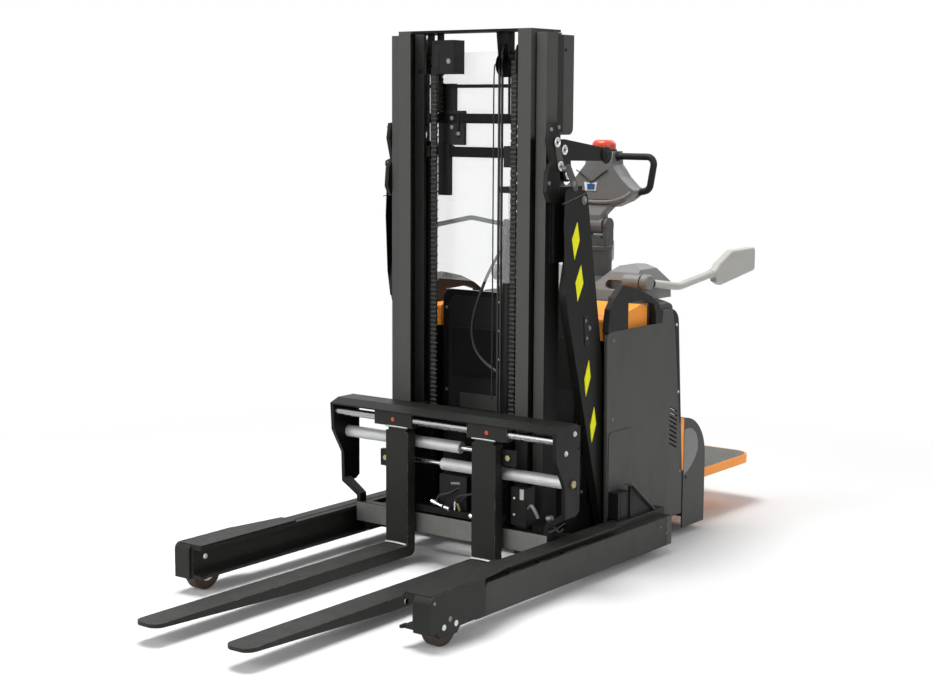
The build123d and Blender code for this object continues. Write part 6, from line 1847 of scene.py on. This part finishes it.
@dataclass
class Levers:
    """The levers' bright pin rings, link plates and end bosses."""

    outer: float = 0.348
    pivot: Point = (-0.262, 1.447)

    def build(self, shop: Workshop, bolts: BoltBox) -> None:
        """Adds the details of both levers.

        Args:
            shop: The workshop with the finishes.
            bolts: The box that collects the fasteners; not used.
        """
        for side, name in SIDES:
            piece = Piece(f"lever_details_{name}")
            out = (0, side, 0)
            y = side * self.outer
            rim = [
                (0.0110, 0.0), (0.0170, 0.0), (0.0170, 0.0030), (0.0150, 0.0042), (0.0125, 0.0036),
                (0.0110, 0.0020),
            ]
            core = [(0.0, 0.0), (0.0115, 0.0), (0.0115, 0.0016), (0.0050, 0.0020), (0.0, 0.0020)]
            for x, z in ((0.002, 1.469), (-0.020, 1.385)):
                piece.turned(rim, (x, y, z), out, "zinc")
                piece.turned(core, (x, y, z), out, "casting")
            piece.turned(
                [
                    (0.0, 0.0), (0.030, 0.0), (0.031, 0.002), (0.028, 0.006), (0.014, 0.007),
                    (0.013, 0.009), (0.0, 0.009),
                ],
                (self.pivot[0], y, self.pivot[1]), out, "black_paint",
            )
            ys = sorted((y, y + side * 0.004))
            link = [
                (0.012, 1.405), (0.030, 1.400), (0.047, 1.425), (0.066, 1.500), (0.056, 1.514),
                (0.040, 1.508), (0.014, 1.432),
            ]
            piece.prism(link, Axis.Y, *ys, "charcoal_paint", 0.0012)
            tip = y + side * 0.004
            for x, z in ((0.052, 1.495), (0.030, 1.415)):
                piece.turned(rim, (x, tip, z), out, "zinc")
                piece.turned(core, (x, tip, z), out, "black_plastic")
            head = [
                (0.026, 1.560), (0.088, 1.553), (0.098, 1.500), (0.078, 1.430), (0.102, 1.395),
                (0.108, 1.330), (0.088, 1.296), (0.030, 1.290), (0.030, 1.395), (0.008, 1.400),
                (0.014, 1.430), (0.036, 1.508),
            ]
            piece.prism(
                head, Axis.Y, *sorted((y - side * 0.014, y + side * 0.0015)), "black_paint", 0.001
            )
            for x, z in ((0.084, 1.538), (0.040, 1.545), (0.094, 1.360)):
                piece.turned(
                    cap(0.0075, 0.003, 0.0005), (x, y + side * 0.0012, z), out, "casting", 6
                )
            piece.finish(shop, "mast", "black_paint")


@dataclass
class InnerMast:
    """What rides with the inner mast: leaf chains, wheel housings and the cable."""

    chain_y: float = 0.172
    chain_front: float = 0.046
    wheel_x: float = 0.030
    wheel_z: float = 1.780
    chain_r: float = 0.016
    foot_z: float = 0.520
    arch_z: float = 1.724
    anchor_z: float = 1.5883
    pitch: float = 0.0159

    def chain_line(self) -> tuple[list[Point], list[Point]]:
        """Returns the places and directions of the links in the XZ plane."""
        rise = self.wheel_z - self.foot_z
        arc = math.pi * self.chain_r
        fall = self.wheel_z - self.anchor_z
        places: list[Point] = []
        ways: list[Point] = []
        for i in range(int((rise + arc + fall) / self.pitch)):
            s = (i + 0.5) * self.pitch
            if s < rise:
                places.append((self.chain_front, 0.0, self.foot_z + s))
                ways.append((0.0, 0.0, 1.0))
            elif s < rise + arc:
                a = (s - rise) / self.chain_r
                x = self.wheel_x + self.chain_r * math.cos(a)
                places.append((x, 0.0, self.wheel_z + self.chain_r * math.sin(a)))
                ways.append((-math.sin(a), 0.0, math.cos(a)))
            else:
                places.append((self.wheel_x - self.chain_r, 0.0, self.wheel_z - (s - rise - arc)))
                ways.append((0.0, 0.0, -1.0))
        return places, ways

    def build(self, shop: Workshop, bolts: BoltBox) -> None:
        """Adds the chains, the housings and the cable.

        Args:
            shop: The workshop with the finishes.
            bolts: The box that collects the fasteners; not used.
        """
        places, ways = self.chain_line()
        points: list[Point] = []
        alongs: list[Point] = []
        for side, _ in SIDES:
            for i, (place, way) in enumerate(zip(places, ways)):
                points.append((place[0], side * self.chain_y - 0.0105 + 0.0024 * (i % 2), place[2]))
                alongs.append(way)
        links = LinkTree()
        chain = links.bake(
            shop, "leaf_chains", points, [(0, 1, 0)] * len(points), alongs, "chain_steel",
            "inner_mast", Pitch=self.pitch, Width=0.0118, Plate=0.0022, Stack=5,
        )
        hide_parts("lift_chains")
        piece = Piece("inner_mast_details")
        arch = [
            (0.006, self.arch_z), (0.006, 1.796), (0.016, 1.818), (0.038, 1.828), (0.062, 1.818),
            (0.072, 1.796), (0.072, self.arch_z),
        ]
        for side, _ in SIDES:
            for low, high in ((0.134, 0.141), (0.1905, 0.1965)):
                piece.prism(arch, Axis.Y, *span(side, low, high), "black_paint", 0.002)
            ys = span(side, 0.196, 0.229)
            piece.block((0.040, ys[0], 1.726), (0.066, ys[1], 1.742), "black_paint", 0.002)
            piece.rod(
                (self.wheel_x, side * 0.126, self.wheel_z),
                (self.wheel_x, side * 0.135, self.wheel_z), 0.009, "casting", 0.001, 6,
            )
        # rounded cover of the far wheel with its slot and cap
        piece.block((0.008, -0.166, self.arch_z), (0.070, -0.070, 1.840), "black_paint", 0.012)
        piece.block((0.069, -0.156, 1.748), (0.0712, -0.132, 1.828), "black_plastic", 0.001)
        piece.rod((0.069, -0.092, 1.768), (0.0722, -0.092, 1.768), 0.0105, "casting", 0.001, 6)
        # thin cable beside the hoses, with its clips
        piece.cord(
            [
                (0.070, 0.1025, 0.600), (0.071, 0.1035, 0.90), (0.070, 0.1025, 1.30),
                (0.069, 0.102, 1.700), (0.058, 0.102, 1.757), (0.040, 0.102, 1.772),
                (0.020, 0.102, 1.757),
            ],
            5, 0.0024, "hose_rubber", 8,
        )
        for i in range(5):
            z = 0.74 + 0.10 * i
            piece.block((0.0660, 0.1275, z), (0.0722, 0.1365, z + 0.007), "casting", 0.001)
        piece.finish(shop, "inner_mast", "black_paint")


@dataclass
class Carriage:
    """Fork carriage: bare lower bar, cross tube with fittings, hoses and nuts."""

    plate_y: float = 0.492
    bar_front: float = 0.184
    nut: Point = (0.143, 0.363)

    def build(self, shop: Workshop, bolts: BoltBox) -> None:
        """Adds the details of the carriage and of the forks' heads.

        Args:
            shop: The workshop with the finishes.
            bolts: The box that collects the fasteners.
        """
        bar = Piece("lower_bar_face")
        bar.block(
            (self.bar_front + 0.0002, -0.4195, 0.1135), (self.bar_front + 0.0016, 0.4195, 0.1825),
            "bare_bar", 0.0006,
        )
        bar.finish(shop, "carriage", "fork_steel")
        self._fittings(shop)
        for side, _ in SIDES:
            out = (0, side, 0)
            y = side * self.plate_y
            bolts.add("carriage", Bolt.MEDIUM, "zinc", out, (0.133, y, 0.533), (0.185, y, 0.474))
            bolts.add(
                "carriage", Bolt.SMALL, "black_plastic", out, (0.120, y, 0.345), (0.105, y, 0.480)
            )
        for side, name in SIDES:
            self._fork_head(shop, side, f"fork_{name}")

    def _fittings(self, shop: Workshop) -> None:
        """Adds the cross tube, valves, small hoses and brackets.

        Args:
            shop: The workshop with the finishes.
        """
        piece = Piece("carriage_fittings")
        piece.block((0.160, -0.145, 0.190), (0.182, 0.125, 0.212), "black_paint", 0.002)
        for start, end, radius, finish in (
            ((0.177, -0.080, 0.232), (0.177, -0.058, 0.226), 0.0085, "chrome"),
            ((0.177, -0.058, 0.226), (0.177, -0.030, 0.219), 0.0060, "chrome"),
            ((0.178, -0.022, 0.218), (0.178, 0.002, 0.214), 0.0075, "zinc"),
            ((0.176, 0.024, 0.214), (0.182, 0.030, 0.246), 0.0060, "chrome"),
            ((0.176, 0.046, 0.214), (0.182, 0.040, 0.240), 0.0050, "brass"),
            ((0.177, 0.090, 0.204), (0.177, 0.112, 0.200), 0.0090, "chrome"),
            ((0.150, -0.010, 0.300), (0.150, 0.030, 0.304), 0.0080, "casting"),
        ):
            piece.rod(start, end, radius, finish, 0.0012, 12)
        piece.block((0.120, -0.060, 0.212), (0.156, 0.060, 0.330), "black_plastic", 0.004)
        for y, z, reach in ((-0.06, 0.238, 0.10), (0.02, 0.246, 0.12), (0.05, 0.256, 0.16)):
            piece.cord(
                [
                    (0.176, y, z - 0.008), (0.182, y + 0.2 * reach, z + 0.020),
                    (0.170, y + 0.6 * reach, z + 0.034), (0.140, y + reach, z + 0.060),
                ],
                5, 0.0042, "hose_rubber", 8,
            )
        # bracket at the left, its bolts and hoses to the cylinder
        piece.block((0.130, 0.268, 0.200), (0.182, 0.330, 0.332), "black_paint", 0.003)
        for z in (0.237, 0.294):
            piece.rod((0.1815, 0.282, z), (0.1845, 0.282, z), 0.0045, "zinc", 0.0006, 6)
        piece.block((0.180, 0.306, 0.292), (0.1845, 0.322, 0.328), "worn_steel", 0.001)
        piece.cord(
            [
                (0.172, 0.332, 0.262), (0.179, 0.350, 0.276), (0.181, 0.366, 0.262),
                (0.176, 0.376, 0.236),
            ],
            5, 0.006, "casting", 10,
        )
        piece.cord(
            [
                (0.150, 0.395, 0.190), (0.165, 0.408, 0.226), (0.172, 0.430, 0.222),
                (0.160, 0.448, 0.196), (0.150, 0.462, 0.208),
            ],
            5, 0.005, "hose_rubber", 10,
        )
        piece.cord(
            [
                (0.150, 0.400, 0.200), (0.178, 0.418, 0.196), (0.180, 0.440, 0.202),
                (0.150, 0.468, 0.230),
            ],
            5, 0.004, "hose_rubber", 10,
        )
        piece.rod((0.160, 0.402, 0.236), (0.160, 0.424, 0.240), 0.010, "casting", 0.002, 14)
        # nuts on the end plates in their dark recesses
        for side, _ in SIDES:
            piece.turned(
                cap(0.021, 0.0012), (self.nut[0], side * self.plate_y, self.nut[1]), (0, side, 0),
                "black_plastic", 24,
            )
            piece.turned(
                [
                    (0.0, 0.0), (0.0135, 0.0), (0.0135, 0.005), (0.006, 0.0055), (0.005, 0.0035),
                    (0.0, 0.0035),
                ],
                (self.nut[0], side * (self.plate_y + 0.001), self.nut[1]), (0, side, 0), "brass", 6,
            )
        piece.finish(shop, "carriage", "black_paint")

    def _fork_head(self, shop: Workshop, side: int, body: str) -> None:
        """Adds a fork's weld beads, its cylinder lug and the sleeve's dot.

        Args:
            shop: The workshop with the finishes.
            side: 1 for the left side and -1 for the right.
            body: The fork's body.
        """
        piece = Piece(f"{body}_details")
        piece.rod(
            (0.2388, side * 0.205, 0.519), (0.2402, side * 0.205, 0.519), 0.0075, "red_plastic",
            0.0003,
        )
        low, high = (0.405, 0.462) if side > 0 else (0.338, 0.398)
        ys = span(side, 0.238, 0.292)
        piece.block((0.184, ys[0], low), (0.202, ys[1], high), "black_paint", 0.003)
        inner = span(side, 0.141, 0.239)
        piece.cord(
            [
                (0.2365, inner[0], 0.4935), (0.2375, (inner[0] + inner[1]) / 2, 0.4945),
                (0.2365, inner[1], 0.4935),
            ],
            6, 0.0035, "worn_steel", 8,
        )
        piece.tube([(0.2345, inner[0], 0.4935), (0.198, inner[0], 0.4935)], 0.003, "worn_steel", 8)
        piece.cord(
            [
                (0.2415, inner[0] + 0.002, 0.0745), (0.2415, (inner[0] + inner[1]) / 2, 0.0760),
                (0.2415, inner[1] - 0.002, 0.0745),
            ],
            6, 0.0045, "worn_steel", 8,
        )
        piece.turned(
            cap(0.0105, 0.004, 0.0005), (0.202, side * 0.268, (low + high) / 2), AHEAD, "brass", 6
        )
        piece.finish(shop, body, "fork_steel")


@dataclass
class Linkage:
    """Reach arms with their hazard diamonds, caps, seams and pins."""

    foot: Point = (-0.257, 0.143)
    top: Point = (-0.064, 1.299)
    arm_outer: float = 0.386
    diamonds: tuple[tuple[Point, ...], ...] = (
        ((-0.023, 1.228), (-0.038, 1.164), (-0.008, 1.100), (0.009, 1.170)),
        ((-0.049, 1.080), (-0.065, 1.016), (-0.031, 0.955), (-0.016, 1.022)),
        ((-0.108, 0.746), (-0.120, 0.684), (-0.092, 0.620), (-0.082, 0.682)),
        ((-0.146, 0.576), (-0.160, 0.514), (-0.134, 0.450), (-0.122, 0.510)),
    )

    def build(self, shop: Workshop, bolts: BoltBox) -> None:
        """Adds the marks, the cap plates and the pins of the linkage.

        Args:
            shop: The workshop with the finishes.
            bolts: The box that collects the fasteners.
        """
        for side, name in SIDES:
            piece = Piece(f"arm_marks_{name}")
            out = (0, side, 0)
            y = side * self.arm_outer
            for corners in self.diamonds:
                piece.prism(corners, Axis.Y, *sorted((y, y + side * 0.0028)), "yellow_mark", 0.0)
            ys = sorted((y, y + side * 0.002))
            head = [
                (-0.084, 1.318), (-0.070, 1.332), (0.030, 1.345), (0.050, 1.330), (0.056, 1.220),
                (0.046, 1.020), (0.030, 0.930), (-0.060, 0.930), (-0.118, 1.110),
            ]
            piece.prism(head, Axis.Y, *ys, "black_paint", 0.0012)
            seam = sorted((y + side * 0.0015, y + side * 0.0024))
            piece.prism(
                [(0.069, 1.292), (0.069, 1.289), (-0.080, 1.322), (-0.079, 1.325)], Axis.Y, *seam,
                "charcoal_paint", 0.0,
            )
            plate_link = [
                (0.052, 1.418), (0.036, 1.424), (0.024, 1.414), (-0.020, 1.350), (-0.018, 1.336),
                (-0.004, 1.330), (0.008, 1.338), (0.054, 1.404),
            ]
            piece.prism(
                plate_link, Axis.Y, *sorted((y + side * 0.002, y + side * 0.006)), "charcoal_paint",
                0.001,
            )
            piece.rod(
                (0.040, y - side * 0.018, 1.408), (0.040, y + side * 0.003, 1.408), 0.0095,
                "casting", 0.001, 20,
            )
            piece.turned(
                cap(0.010, 0.001, 0.0002), (0.006, y + side * 0.0058, 1.357), out, "casting", 20
            )
            plate = [(-0.074, 0.900), (-0.100, 0.900), (-0.108, 0.800), (-0.082, 0.796)]
            piece.prism(plate, Axis.Y, *ys, "black_plastic", 0.0008)
            piece.finish(shop, "reach_arms", "black_paint")
            bolts.add("reach_arms", Bolt.PIN, "black_paint", out, (self.foot[0], y, self.foot[1]))
            bolts.add(
                "reach_arms", Bolt.LARGE, "casting", out,
                (self.top[0], y + side * 0.002, self.top[1]),
            )
            bolts.add(
                "reach_arms", Bolt.SMALL, "casting", out, (-0.086, y + side * 0.002, 0.884),
                (-0.094, y + side * 0.002, 0.822),
            )
            bolts.add("reach_arms", Bolt.MEDIUM, "casting", out, (-0.110, y, 0.856))


@dataclass
class Wheels:
    """Hub caps of the load, drive and castor wheels."""

    nodes: tuple[str, ...] = ("load_wheel_left", "load_wheel_right", "drive_wheel", "castor_wheel")
    inner: float = 0.30
    rim: float = 0.46
    outer: float = 0.52

    def build(self, shop: Workshop, bolts: BoltBox) -> None:
        """Adds the hubs that each wheel carries.

        Args:
            shop: The workshop with the finishes.
            bolts: The box that collects the fasteners; not used.
        """
        for node in self.nodes:
            low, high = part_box(node)
            centre = [(a + b) / 2 for a, b in zip(low, high)]
            radius = (high[2] - low[2]) / 2
            inner, rim, outer = self.inner * radius, self.rim * radius, self.outer * radius
            profile = [
                (inner, -0.002), (outer, -0.002), (outer, 0.0004), (rim, 0.0008), (inner, 0.0008)
            ]
            hub = Piece(f"hub_{node}")
            for side, _ in SIDES:
                foot = (centre[0], high[1] if side > 0 else low[1], centre[2])
                hub.turned(profile, foot, (0, side, 0), "zinc", 28)
            hub.finish(shop, node, "bare_casting")


def main() -> None:
    """Builds the looks in order."""
    logging.basicConfig(level=logging.INFO, format="%(message)s")
    Studio().build()
    shop = Workshop()
    for node, finish in NODE_FINISHES.items():
        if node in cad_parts:
            shop.dress(node, finish)
    bolts = BoltBox()
    for assembly in (
        Legs(), Chassis(), Platform(), Tiller(), Mast(), Levers(), InnerMast(), Carriage(),
        Linkage(), Wheels(),
    ):
        assembly.build(shop, bolts)
    bolts.bake(shop)


if __name__ == "__main__":
    main()
